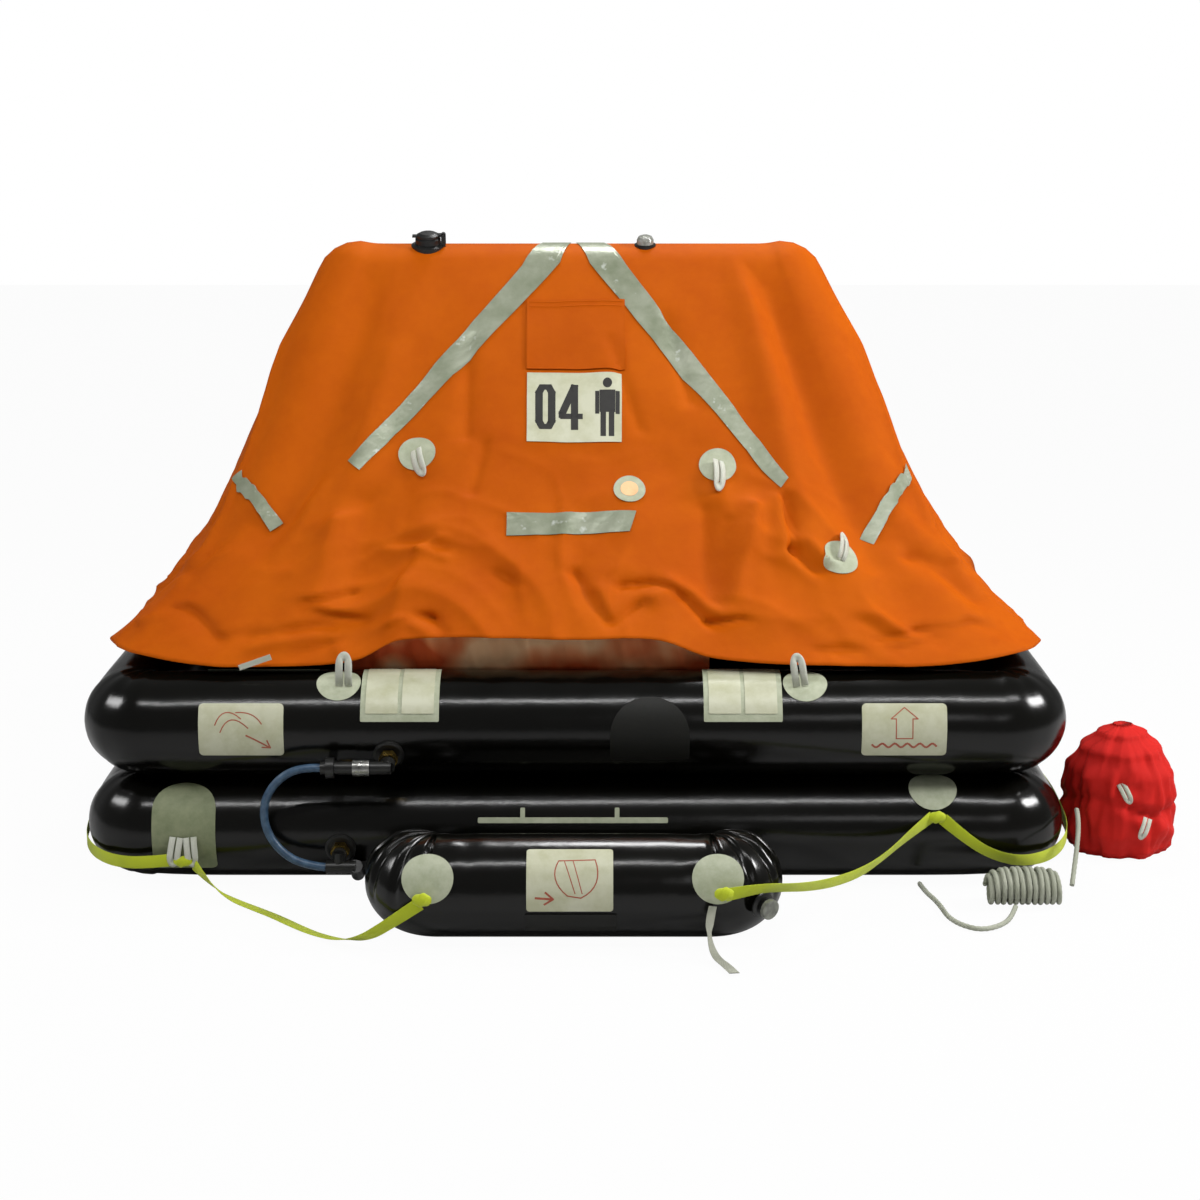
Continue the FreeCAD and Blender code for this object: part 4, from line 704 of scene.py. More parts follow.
def along_hem(hem, share):
    """Point of a hem at a share, by a smooth curve through its listed points."""
    index = min(len(hem) - 2, max(0, sum(1 for row in hem[1:] if row[0] < share)))
    before, start, end = hem[max(0, index - 1)], hem[index], hem[index + 1]
    after = hem[min(len(hem) - 1, index + 2)]
    span = end[0] - start[0]
    part = (share - start[0]) / span
    square, cube = part ** 2, part ** 3
    result = []
    for axis in (1, 2, 3):
        slope_in = (end[axis] - before[axis]) / max(end[0] - before[0], 1e-6) * span
        slope_out = (after[axis] - start[axis]) / max(after[0] - start[0], 1e-6) * span
        result.append((2 * cube - 3 * square + 1) * start[axis] + (cube - 2 * square + part) * slope_in
                      + (3 * square - 2 * cube) * end[axis] + (cube - square) * slope_out)
    return Vector(result) / 1000


def fold_height(folds, share, drop):
    """Sum of the folds at a spot: each is a rounded ridge along a line."""
    total = 0.0
    px, py = share * arch_half, drop * CLOTH_LENGTH
    for share_a, drop_a, share_b, drop_b, width, height in folds:
        ax, ay = share_a * arch_half, drop_a * CLOTH_LENGTH
        bx, by = share_b * arch_half, drop_b * CLOTH_LENGTH
        length = math.hypot(bx - ax, by - ay)
        aside = ((px - ax) * (by - ay) - (py - ay) * (bx - ax)) / length * 1000
        if abs(aside) > 3 * width:
            continue
        along = ((px - ax) * (bx - ax) + (py - ay) * (by - ay)) / length ** 2
        fade = 1 / (1 + math.exp(-14 * along)) / (1 + math.exp(14 * (along - 1.05)))
        total += height / 1000 * fade * math.exp(-(aside / width) ** 2)
    return total


# Sharp small creases, in the same rows.
CREASE_GAIN = 2.1
# Spots held flat by the stitched side tapes.
CALM = [(-0.360, 0.620), (0.360, 0.630)]
CREASES = [
    (-0.392, 0.800, -0.366, 0.686, 15, -12), (-0.372, 0.896, -0.328, 0.951, 12, -14),
    (-0.400, 0.930, -0.371, 0.889, 14, 10), (-0.299, 0.941, -0.243, 0.917, 10, -9),
    (-0.260, 0.935, -0.232, 0.922, 8, -8), (-0.283, 0.959, -0.240, 0.934, 12, 8),
    (-0.161, 0.789, -0.199, 0.761, 9, 5), (-0.161, 0.789, -0.140, 0.769, 8, 5),
    (-0.161, 0.789, -0.132, 0.818, 8, 5), (-0.157, 0.800, -0.168, 0.858, 9, 5),
    (-0.190, 0.746, -0.141, 0.796, 14, -5), (-0.254, 0.870, -0.226, 0.850, 9, -10),
    (-0.253, 0.857, -0.226, 0.839, 11, 7), (-0.245, 0.892, -0.201, 0.916, 9, -9),
    (-0.246, 0.877, -0.210, 0.893, 10, 7), (-0.152, 0.943, -0.134, 0.961, 8, -12),
    (-0.137, 0.954, -0.119, 0.993, 8, -12), (-0.145, 0.968, -0.127, 0.995, 9, 8),
    (-0.168, 0.953, -0.152, 0.943, 9, 8), (-0.253, 0.688, -0.245, 0.853, 18, 12),
    (-0.242, 0.643, -0.227, 0.844, 22, -9), (-0.165, 0.861, -0.168, 0.940, 14, 8),
    (-0.248, 0.974, -0.221, 0.953, 9, -9), (-0.223, 0.945, -0.208, 0.985, 10, 8),
    (-0.078, 0.855, -0.061, 0.877, 10, -6), (-0.001, 0.851, 0.033, 0.965, 10, -11),
    (0.051, 0.886, 0.097, 0.871, 9, -11), (0.039, 0.970, 0.073, 0.919, 9, -12),
    (0.077, 0.918, 0.105, 0.855, 12, 10), (0.027, 0.892, 0.038, 0.965, 14, 8),
    (0.113, 0.881, 0.135, 0.927, 8, -11), (0.134, 0.929, 0.165, 0.911, 8, -11),
    (0.122, 0.864, 0.142, 0.905, 12, 7), (0.205, 0.660, 0.150, 0.888, 16, 13),
    (0.157, 0.670, 0.138, 0.876, 18, -9), (0.175, 0.694, 0.146, 0.883, 10, -7),
    (0.248, 0.637, 0.238, 0.755, 10, -13), (0.238, 0.755, 0.253, 0.801, 9, -12),
    (0.247, 0.733, 0.261, 0.780, 12, 8), (0.236, 0.642, 0.223, 0.768, 16, 9),
    (0.358, 0.680, 0.364, 0.781, 14, -14), (0.363, 0.780, 0.388, 0.880, 14, -14),
    (0.364, 0.664, 0.386, 0.760, 14, 12), (0.284, 0.949, 0.326, 0.935, 9, -11),
    (0.326, 0.935, 0.369, 0.931, 9, -11), (0.291, 0.967, 0.357, 0.938, 8, -10),
    (0.291, 0.957, 0.355, 0.933, 9, 8), (0.331, 0.967, 0.370, 0.943, 9, -9),
    (0.227, 0.974, 0.251, 0.965, 8, -9), (0.240, 0.982, 0.263, 0.968, 8, -9),
    (0.287, 0.890, 0.305, 0.927, 12, 9), (0.278, 0.909, 0.295, 0.941, 10, -7),
    (-0.110, 0.540, -0.120, 0.660, 10, -4), (0.060, 0.300, 0.090, 0.500, 12, -3),
    (-0.150, 0.300, -0.135, 0.520, 14, -4), (0.150, 0.240, 0.160, 0.420, 14, -4),
]


def laid_out(rows):
    """Creases as start, run, squared length, width and height in metres over the flat cloth."""
    result = []
    for share_a, drop_a, share_b, drop_b, width, height in rows:
        start = share_a * arch_half, drop_a * CLOTH_LENGTH
        run = (share_b - share_a) * arch_half, (drop_b - drop_a) * CLOTH_LENGTH
        result.append((*start, *run, run[0] ** 2 + run[1] ** 2, width / 1000, height / 1000))
    return result


flat_creases = laid_out(CREASES)


def crease_height(share, drop):
    """Sum of the sharp creases at a spot, each falling away from its line."""
    px, py = share * arch_half, drop * CLOTH_LENGTH
    total = 0.0
    for ax, ay, run_x, run_y, square, width, height in flat_creases:
        part = min(1.0, max(0.0, ((px - ax) * run_x + (py - ay) * run_y) / square))
        gap = math.hypot(px - ax - run_x * part, py - ay - run_y * part) / width
        if gap < 3.5:
            total += height * math.exp(-gap ** 1.4)
    return total * CREASE_GAIN


def crumple(share, drop):
    """Crisp small wrinkles of the slack lower cloth; they run towards the corners of the hull."""
    slack = min(1.0, max(0.0, (drop - 0.50) / 0.35))
    if slack == 0.0:
        return 0.0
    across, down = share * arch_half, drop * CLOTH_LENGTH
    lean = 0.55 * math.tanh(share * 6)
    along, aside = down + lean * across, across - lean * down
    wide = 1 - abs(noise.noise(Vector((aside * 8.5, along * 3.0, 4.0)))) * 3.0
    fine = 1 - abs(noise.noise(Vector((aside * 19, along * 8.0, 7.5)))) * 3.0
    return slack * (0.016 * max(0.0, wide) ** 2 + 0.006 * max(0.0, fine) ** 2)


def canopy_point(share, drop, front=True, lift=0.0, fine=True):
    """Outer face of the canopy: share across (-1 to 1), drop from ridge to hem (0 to 1)."""
    if front:
        hem = along_hem(HEM_LEFT if share < 0 else HEM_RIGHT, abs(share))
    else:
        hem = along_hem(HEM_REAR, abs(share))
        hem.x = math.copysign(hem.x, share) if share else hem.x
    centre, outward = arch_frame(share)
    away = Vector((0, -1 if front else 1, 0))
    reach = hem - centre
    slope = math.atan2(-reach.dot(outward), reach.dot(away)) if reach.dot(away) > 0.001 else -1
    radius = ARCH_RADIUS + CLOTH + 0.003 + lift
    wrap = max(0.0, slope + math.asin(min(1.0, radius / reach.length)))
    wrapped = WRAP_SHARE * min(1.0, wrap / 0.6)
    turn = wrap if drop >= wrapped else wrap * drop / wrapped
    settle = max(0.0, (drop - wrapped) / (1 - wrapped))
    start = centre + outward * (radius * math.cos(turn)) + away * (radius * math.sin(turn))
    straight = (hem - start) * settle
    room = math.hypot(radius, straight.length) - radius
    point = start + straight
    inward = (cabin_middle - point).normalized()
    sag = 0.006 * settle ** 2 * (1 - settle) * (26 + 44 * math.exp(-((abs(share) - 0.41) / 0.12) ** 2))
    sag *= min(1.0, (1 - abs(share)) / 0.3)
    corner = (abs(share) - shoulder_share) / 0.022
    sag -= SHOULDER_PUSH * math.exp(-corner ** 2) * (1 - settle) ** 6
    folds = fold_height(BROAD_FOLDS if front else REAR_FOLDS, share, drop)
    edge = min(1.0, (1 - abs(share)) / 0.15) * min(1.0, drop / 0.2) * (1 - 0.45 * drop ** 4)
    detail = 0.0
    if fine:
        spot = Vector((share * 9, drop * 6, 3.0 if front else 9.0))
        detail = 0.004 * noise.noise(spot) + 0.0018 * noise.noise(spot * 2.7)
        detail = detail * min(1.0, drop / 0.25)
        if front:
            calm = 1.0
            for calm_share, calm_drop in CALM:
                away_x, away_y = (share - calm_share) * arch_half / 0.07, (drop - calm_drop) * CLOTH_LENGTH / 0.13
                calm -= math.exp(-away_x ** 2 - away_y ** 2)
            detail += (crease_height(share, drop) + crumple(share, drop)) * max(0.0, calm)
    inset = min(room, sag - (folds + detail) * edge)
    return point + inward * inset - inward * lift * settle + away * 0.0002


CANOPY_THICKNESS = 0.0012


def canopy_piece():
    """One continuous sheet over the arch, from the rear hem to the front hem."""
    half = 100
    facing_share = 0.46
    shares = steps(-1, -facing_share, half // 3)[:-1] + steps(-facing_share, facing_share, 2 * half)
    shares += steps(facing_share, 1, half // 3)[1:]
    rear = list(reversed(steps(0, 1, 32)[1:]))
    front = steps(0, 1, 134)
    rows = [[canopy_point(share, drop, False) for share in shares] for drop in rear]
    rows += [[canopy_point(share, drop, True) for share in shares] for drop in front]
    bm = bmesh.new()
    add_grid(bm, rows)
    made = piece("canopy", bm, ORANGE, ["canopy_front", "canopy_rear"])
    solidify(made, CANOPY_THICKNESS, -1)
    return made


canopy_piece()


# ------------------------------------------------------- flat shapes laid on things
def lay_flat(name, outlines, place, material, thickness=0.0008, lift=0.0, grain=0.008, replaced=()):
    """Flat outlines, triangulated and cut fine enough to follow the surface that place() gives."""
    bm = bmesh.new()
    for outline in outlines:
        corners = [bm.verts.new((u, v, 0)) for u, v in outline]
        bm.faces.new(corners)
    bmesh.ops.triangulate(bm, faces=bm.faces[:])
    for axis in (0, 1):
        values = [vertex.co[axis] for vertex in bm.verts]
        start, end = min(values), max(values)
        for index in range(1, int((end - start) / grain) + 1):
            at = Vector((0, 0, 0))
            at[axis] = start + index * grain
            normal = Vector((0, 0, 0))
            normal[axis] = 1
            bmesh.ops.bisect_plane(bm, geom=bm.verts[:] + bm.edges[:] + bm.faces[:], plane_co=at,
                                   plane_no=normal)
    rim = [edge for edge in bm.edges if len(edge.link_faces) == 1]
    skirt = bmesh.ops.extrude_edge_only(bm, edges=rim)["geom"]
    foot = {element for element in skirt if isinstance(element, bmesh.types.BMVert)}
    for vertex in bm.verts:
        u, v = vertex.co.x, vertex.co.y
        vertex.co = place(u, v, lift if vertex in foot else lift + thickness)
    made = piece(name, bm, material, replaced)
    made.data.set_sharp_from_angle(angle=math.radians(40))
    return made


CORNER_STEPS, CIRCLE_STEPS, CURVE_STEPS = 8, 40, 8


def rounded(width, height, corner, domed=False):
    """Outline of a rectangle about the origin with rounded corners, or with a round top."""
    points = []
    half_w, half_h = width / 2, height / 2
    top = half_w if domed else corner
    for x, y, radius, start in ((half_w, -half_h, corner, -90), (half_w, half_h, top, 0),
                                (-half_w, half_h, top, 90), (-half_w, -half_h, corner, 180)):
        centre_x, centre_y = x - math.copysign(radius, x), y - math.copysign(radius, y)
        for turn in steps(start, start + 90, CORNER_STEPS):
            points.append((centre_x + radius * math.cos(math.radians(turn)),
                           centre_y + radius * math.sin(math.radians(turn))))
    return [point for index, point in enumerate(points) if point != points[index - 1]]


def circle(radius):
    angles = [2 * math.pi * index / CIRCLE_STEPS for index in range(CIRCLE_STEPS)]
    return [(radius * math.cos(angle), radius * math.sin(angle)) for angle in angles]


def stroke(points, width):
    """Outlines of the straight bars along a drawn line."""
    bars = []
    for (ax, ay), (bx, by) in zip(points, points[1:]):
        length = math.hypot(bx - ax, by - ay)
        if length < 1e-7:
            continue
        nx, ny = -(by - ay) / length * width / 2, (bx - ax) / length * width / 2
        ex, ey = (bx - ax) / length * width * 0.3, (by - ay) / length * width * 0.3
        bars.append([(ax - nx - ex, ay - ny - ey), (bx - nx + ex, by - ny + ey),
                     (bx + nx + ex, by + ny + ey), (ax + nx - ex, ay + ny - ey)])
    return bars


def curve_points(start, bend, end):
    """A smooth drawn line through three points."""
    control = [2 * bend[axis] - (start[axis] + end[axis]) / 2 for axis in (0, 1)]
    line = []
    for part in steps(0, 1, CURVE_STEPS):
        line.append(tuple((1 - part) ** 2 * start[axis] + 2 * part * (1 - part) * control[axis]
                          + part ** 2 * end[axis] for axis in (0, 1)))
    return line


def on_tube(tube, x, angle):
    def place(u, v, lift):
        return tube.at(x + u, angle + math.degrees(v / tube.radius), lift + 0.0006)
    return place


# Patches, panels and labels glued on the tubes, in place of the plain CAD plates.
patch_list = [
    ("round_patch_a", upper, -0.459, 62, 0.043), ("round_patch_b", upper, 0.447, 61, 0.043),
    ("round_patch_c", lower, 0.700, 57, 0.047), ("round_patch_d", ramp, -0.263, 26, 0.047),
    ("round_patch_e", ramp, 0.262, 26, 0.047),
]
for name, tube, x, angle, radius in patch_list:
    lay_flat(name, [circle(radius)], on_tube(tube, x, angle), PATCH)


def side_place(side):
    def place(u, v, lift):
        reach, tilt = lower.radius + lift + 0.0006, v / lower.radius
        return Vector((side * (lower.half_x + reach * math.cos(tilt)), -0.29 + side * u,
                       lower.z + reach * math.sin(tilt)))
    return place


for name, side in (("side_patch_a", -1), ("side_patch_b", 1)):
    lay_flat(name, [circle(0.043)], side_place(side), PATCH)
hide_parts("hull_patches")
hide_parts("ramp_patches")

lay_flat("tongue", [rounded(0.124, 0.190, 0.014, True)], on_tube(lower, -0.762, 13), TONGUE,
         replaced=["tongue_patch"])
for name, x in (("panel_a", -0.338), ("panel_b", 0.325)):
    lay_flat(name, [rounded(0.152, 0.148, 0.003)], on_tube(upper, x, 56), PATCH)
    for side in (-1, 1):
        lay_flat("%s_strip_%s" % (name, "left" if side < 0 else "right"), [rounded(0.062, 0.128, 0.002)],
                 on_tube(upper, x + side * 0.035, 59), CREAM, lift=0.0008, thickness=0.0012)
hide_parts("closure_panels")
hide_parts("closure_strips")

lay_flat("label_a", [rounded(0.164, 0.105, 0.009)], on_tube(upper, -0.644, 6), CREAM,
         replaced=["instruction_label_left"])
lay_flat("label_b", [rounded(0.164, 0.105, 0.009)], on_tube(upper, 0.636, 6), CREAM,
         replaced=["instruction_label_right"])
lay_flat("label_c", [rounded(0.157, 0.119, 0.006)], on_tube(ramp, -0.006, 25), CREAM,
         replaced=["boarding_label"])
lay_flat("flap", [rounded(0.166, 0.041, 0.003)], on_tube(ramp, -0.004, -27), MATTE,
         replaced=["ramp_flap"], thickness=0.0015)
lay_flat("relief", [rounded(0.154, 0.128, 0.008, True)], on_tube(upper, 0.145, 7), MATTE,
         replaced=["relief_patch"], thickness=0.0018)
lay_flat("tie_bar", [rounded(0.220, 0.012, 0.002)], on_tube(upper, -0.612, 96), PATCH,
         replaced=["tie_strip"])
lay_flat("step_bar", [rounded(0.370, 0.011, 0.003)], on_tube(lower, -0.004, 20), PATCH,
         replaced=["boarding_strap"])
for name, x in (("step_tab_a", -0.102), ("step_tab_b", 0.082)):
    lay_flat(name, [rounded(0.009, 0.024, 0.002)], on_tube(lower, x, 27), PATCH)


# ------------------------------------------------------------- pieces on the canopy
CANOPY_LIFT = 0.0016


def on_canopy(corners):
    """Place a unit square between (share, drop) corners: left top, left bottom, right top, right bottom."""
    (left_top, left_low), (right_top, right_low) = corners

    def place(u, v, lift):
        top = [left_top[axis] + (right_top[axis] - left_top[axis]) * u for axis in (0, 1)]
        low = [left_low[axis] + (right_low[axis] - left_low[axis]) * u for axis in (0, 1)]
        share = low[0] + (top[0] - low[0]) * v
        drop = low[1] + (top[1] - low[1]) * v
        return canopy_point(share, max(0.0, drop), True, lift + CANOPY_LIFT)
    return place


UNIT = [(0, 0), (1, 0), (1, 1), (0, 1)]
lay_flat("tape_level", [UNIT],
         on_canopy((((-0.074, 0.710), (-0.072, 0.766)), ((0.074, 0.707), (0.064, 0.757)))),
         TAPE, thickness=0.0006, grain=0.04, replaced=["reflective_tapes"])
# Slanting tapes: the (share, drop) points of their two edges, from the top down.
bands = {
    "tape_left": (
        [(0.002, 0.003), (-0.017, 0.108), (-0.068, 0.195), (-0.114, 0.279), (-0.154, 0.360), (-0.193, 0.425),
         (-0.226, 0.499), (-0.250, 0.580)],
        [(-0.047, 0.003), (-0.081, 0.116), (-0.121, 0.198), (-0.157, 0.276), (-0.192, 0.341), (-0.221, 0.411),
         (-0.244, 0.488), (-0.268, 0.557)]),
    "tape_right": (
        [(0.058, 0.003), (0.095, 0.113), (0.131, 0.196), (0.163, 0.276), (0.191, 0.355), (0.217, 0.432),
         (0.238, 0.512), (0.254, 0.595)],
        [(0.010, 0.003), (0.034, 0.111), (0.081, 0.204), (0.122, 0.286), (0.158, 0.367), (0.191, 0.449),
         (0.220, 0.531), (0.242, 0.618)]),
    "tape_side_left": (
        [(-0.380, 0.524), (-0.374, 0.567), (-0.370, 0.605), (-0.366, 0.624), (-0.357, 0.648), (-0.350, 0.661),
         (-0.335, 0.688)],
        [(-0.390, 0.545), (-0.380, 0.563), (-0.374, 0.604), (-0.370, 0.640), (-0.361, 0.671), (-0.356, 0.683),
         (-0.343, 0.710)]),
    "tape_side_right": (
        [(0.383, 0.547), (0.376, 0.572), (0.371, 0.624), (0.367, 0.655), (0.356, 0.687), (0.349, 0.704),
         (0.335, 0.738)],
        [(0.383, 0.507), (0.375, 0.546), (0.370, 0.601), (0.365, 0.627), (0.351, 0.664), (0.343, 0.683),
         (0.325, 0.723)]),
}


def on_band(top, low, slack):
    """Place a unit square in a band of the canopy between two lines of (share, drop) points."""
    def place(u, v, lift):
        index = min(len(top) - 2, int(u * (len(top) - 1)))
        part = u * (len(top) - 1) - index
        upper_edge = [top[index][axis] + (top[index + 1][axis] - top[index][axis]) * part for axis in (0, 1)]
        lower_edge = [low[index][axis] + (low[index + 1][axis] - low[index][axis]) * part for axis in (0, 1)]
        share, drop = [lower_edge[axis] + (upper_edge[axis] - lower_edge[axis]) * v for axis in (0, 1)]
        return canopy_point(share, drop, True, lift + slack, fine=slack < 0.002)
    return place


for name, (top, low) in bands.items():
    slack = 0.0045 if "side" in name else 0.0016
    lay_flat(name, [UNIT], on_band(top, low, slack), TAPE, thickness=0.0006,
             grain=0.25 / (len(top) - 1))

card_place = on_canopy((((-0.061, 0.375), (-0.057, 0.537)), ((0.072, 0.375), (0.065, 0.537))))
lay_flat("card", [UNIT], card_place, CREAM, thickness=0.0006, grain=0.04,
         replaced=["capacity_card"])
pocket_place = on_canopy((((-0.068, 0.201), (-0.062, 0.367)), ((0.086, 0.201), (0.077, 0.367))))
lay_flat("pocket", [UNIT], pocket_place, POCKET, thickness=0.0030, grain=0.05,
         replaced=["canopy_pocket"])
hem_lines = stroke([(0.03, 0.97), (0.97, 0.97)], 0.014) + stroke([(0.03, 0.90), (0.97, 0.90)], 0.012)
lay_flat("pocket_seams", hem_lines, pocket_place, ORANGE, thickness=0.0008, lift=0.0030,
         grain=0.05)

zero = [(0.125, 0.30), (0.125, 0.71), (0.155, 0.79), (0.225, 0.79), (0.255, 0.71), (0.255, 0.30),
        (0.225, 0.22),
        (0.155, 0.22), (0.125, 0.30)]
four = [(0.49, 0.20), (0.49, 0.80), (0.365, 0.42), (0.365, 0.37), (0.555, 0.37)]
lay_flat("digit_zero", stroke(zero, 0.078), card_place, INK, thickness=0.0002, lift=0.0006,
         grain=0.05)
lay_flat("digit_four", stroke(four, 0.078), card_place, INK, thickness=0.0002, lift=0.0006,
         grain=0.05)
figure = [[(0.76, 0.43), (0.93, 0.43), (0.93, 0.75), (0.76, 0.75)]]
figure += stroke([(0.735, 0.42), (0.735, 0.72)], 0.045) + stroke([(0.955, 0.42), (0.955, 0.72)], 0.045)
figure += stroke([(0.80, 0.10), (0.80, 0.45)], 0.060) + stroke([(0.89, 0.10), (0.89, 0.45)], 0.060)
figure.append([(0.845 + 0.050 * math.cos(turn), 0.85 + 0.070 * math.sin(turn))
               for turn in [math.tau * index / 20 for index in range(20)]])
lay_flat("person_figure", figure, card_place, INK, thickness=0.0002, lift=0.0006, grain=0.05)


def canopy_local(share, drop, turn=0.0):
    """Place flat shapes in metres about a spot of the canopy."""
    step = 0.02
    across = (canopy_point(share + step, drop, fine=False)
              - canopy_point(share - step, drop, fine=False)) / (2 * step)
    down = (canopy_point(share, drop + step, fine=False)
            - canopy_point(share, drop - step, fine=False)) / (2 * step)
    level = across.normalized()
    rise = (level * down.dot(level) - down).normalized()
    cos, sin = math.cos(math.radians(turn)), math.sin(math.radians(turn))
    mixed = across.dot(down)
    size = across.dot(across) * down.dot(down) - mixed ** 2

    def place(u, v, lift):
        move = level * (u * cos - v * sin) + rise * (u * sin + v * cos)
        first, second = across.dot(move), down.dot(move)
        return canopy_point(share + (first * down.dot(down) - second * mixed) / size,
                            drop + (second * across.dot(across) - first * mixed) / size, True, lift + 0.0018)
    return place


PATCH_SPOTS = [(-0.192, 0.547), (0.179, 0.567), (0.279, 0.769), (0.069, 0.652)]
for index, (share, drop) in enumerate(PATCH_SPOTS):
    lay_flat("canopy_patch_%d" % (index + 1), [circle(0.032 if index == 3 else 0.038)],
             canopy_local(share, drop),
             PATCH, thickness=0.0008)
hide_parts("canopy_patches")
lay_flat("vent_disc", [circle(0.018)], canopy_local(*PATCH_SPOTS[3]), CURTAIN,
         thickness=0.0004, lift=0.0008)


# ----------------------------------------------------------------- webbing loops
LOOP_THICKNESS = 0.0022


def loop_piece(name, base, up, normal, height, width, replaced=()):
    """A folded webbing loop: two flat legs side by side that meet in a pointed bight."""
    up = up.normalized()
    side = up.cross(normal).normalized()
    normal = side.cross(up).normalized()
    slit = width * 0.06
    outer = [(width / 2, 0), (width / 2, height * 0.3)]
    for part in steps(0, 1, 18):
        angle = math.pi * part
        outer.append((width / 2 * math.cos(angle), height * (0.55 + 0.45 * math.sin(angle) ** 0.8)))
    outer += [(-width / 2, height * 0.3), (-width / 2, 0)]
    rows = []
    for x, y in outer:
        inner_x = math.copysign(min(abs(x), slit), x) if abs(x) > 1e-6 else 0.0
        inner_y = min(y, height * 0.72)
        row = []
        for part in steps(0, 1, 3):
            at_x, at_y = x + (inner_x - x) * part, y + (inner_y - y) * part
            bulge = 0.006 * math.sin(math.pi * min(1.0, y / height)) + 0.0012 * math.sin(math.pi * part)
            row.append(base + side * at_x + up * at_y + normal * bulge)
        rows.append(row)
    bm = bmesh.new()
    add_grid(bm, rows)
    solidify(piece(name, bm, LOOP, replaced), LOOP_THICKNESS, 0)


forward = Vector((0, -1, 0))
loop_low = upper.at(0, 56, 0.0035)
loop_piece("bow_loop_a", Vector((-0.448, loop_low.y, loop_low.z)), Z + X * 0.03, forward, 0.068, 0.032,
           replaced=["hull_loops"])
loop_piece("bow_loop_b", Vector((0.438, loop_low.y, loop_low.z)), Z - X * 0.16, forward, 0.066, 0.030)
for index, lean in enumerate((-0.10, 0.10)):
    start = lower.at(-0.762 + lean * 0.13, 2, 0.004)
    loop_piece("tongue_loop_%d" % (index + 1), start, Vector((lean * 1.3, -0.25, -1)), forward, 0.058, 0.026,
               replaced=["tongue_loops"] if index == 0 else ())
for index, ((share, drop), turn, height) in enumerate(
        zip(PATCH_SPOTS[:3], (3, -2, 165), (0.066, 0.074, 0.068))):
    place = canopy_local(share, drop, 180 + turn)
    base, tip = place(0, -0.008, 0.004), place(0, height, 0.007)
    outward = (base - cabin_middle).normalized()
    loop_piece("canopy_loop_%d" % (index + 1), base, tip - base, outward, height, 0.027,
               replaced=["canopy_loops"] if index == 0 else ())


# --------------------------------------------------------------- inner curtain, tie
CURTAIN_SPARE = 0.035


def curtain_piece():
    """Gathered curtain that closes the low gap behind the door hem."""
    rows = []
    low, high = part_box("inner_curtain")
    for u in steps(0, 1, 200):
        row = []
        for v in steps(0, 1, 10):
            x = low.x - CURTAIN_SPARE + (high.x - low.x + 2 * CURTAIN_SPARE) * u
            gather = 0.009 * math.sin(2 * math.pi * 7.3 * u + 0.6) + 0.005 * math.sin(2 * math.pi * 3.1 * u)
            gather += 0.003 * math.sin(2 * math.pi * 19 * u + 4 * v)
            y = -0.566 + gather * (0.5 + 0.5 * v) - 0.010 * v
            rest = math.sqrt(max(0.0, upper.radius ** 2 - (y - upper.front) ** 2))
            bottom = upper.z + rest + 0.0015
            row.append(Vector((x, y, bottom + (high.z - 0.001 - bottom) * v)))
        rows.append(row)
    bm = bmesh.new()
    add_grid(bm, rows)
    made = piece("curtain", bm, CURTAIN, ["inner_curtain"])
    solidify(made, 0.001, 0)


curtain_piece()
nodes["tie_tape"].data.materials.clear()
nodes["tie_tape"].data.materials.append(LOOP)

# ------------------------------------------------------------------- hose
HOSE_Y = (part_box("inflation_hose")[0].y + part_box("inflation_hose")[1].y) / 2
hose_start = Vector((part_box("hose_sleeve")[0].x, HOSE_Y,
                     (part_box("hose_sleeve")[0].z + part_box("hose_sleeve")[1].z) / 2))
hose_points = [hose_start] + [Vector((x, HOSE_Y * 1000, z)) / 1000 for x, z in (
    (-528, 257), (-573, 232), (-600, 187), (-598, 133), (-570, 88), (-527, 61), (-483, 56))]
hose = nurbs_curve("hose", hose_points)
hose.data.bevel_depth = 0.008
hose.data.bevel_resolution = 6
dress(hose, HOSE, ["inflation_hose"])


# ------------------------------------------------------------- rope and drogue
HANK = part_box("line_hank")


def hank_turns():
    """Long flat turns of the made-up line, side by side, as control points."""
    low, high = HANK
    middle = (low + high) / 2
    turns = 12
    points = []
    for index in range(turns * 12 + 1):
        angle = 2 * math.pi * index / 12
        part = index / (turns * 12)
        along = (part - 0.5) * (high.x - low.x - 0.018)
        slim = 1 - 0.24 * (2 * part - 1) ** 4
        reach = ((high.y - low.y) / 2 - 0.006) * slim - 0.002 * (1 + math.sin(3.1 * angle + part * 9))
        tall = ((high.z - low.z) / 2 - 0.0062) * slim
        drop = (1 - slim) * ((high.z - low.z) / 2 - 0.0062)
        points.append(Vector((middle.x + along + 0.0015 * math.sin(angle * 0.5 + 1.3),
                              middle.y + reach * math.cos(angle),
                              middle.z - 0.0005 - drop + tall * math.sin(angle))))
    return points


def hank_core():
    """The inner turns, hidden by the outer ones, as one rounded bundle."""
    low, high = HANK
    middle = (low + high) / 2
    rows = []
    for part in steps(-1, 1, 16):
        slim = math.sqrt(max(0.0, 1 - abs(part) ** 5)) * 0.86
        rows.append([Vector((middle.x + part * ((high.x - low.x) / 2 - 0.006),
                             middle.y + ((high.y - low.y) / 2 - 0.008) * slim * math.cos(turn),
                             middle.z + ((high.z - low.z) / 2 - 0.009) * slim * math.sin(turn)))
                     for turn in [math.tau * index / 32 for index in range(32)]])
    bm = bmesh.new()
    grid = add_grid(bm, rows[1:-1], close_v=True)
    bm.faces.new(list(reversed(grid[0])))
    bm.faces.new(grid[-1])
    piece("hank_core", bm, ROPE)


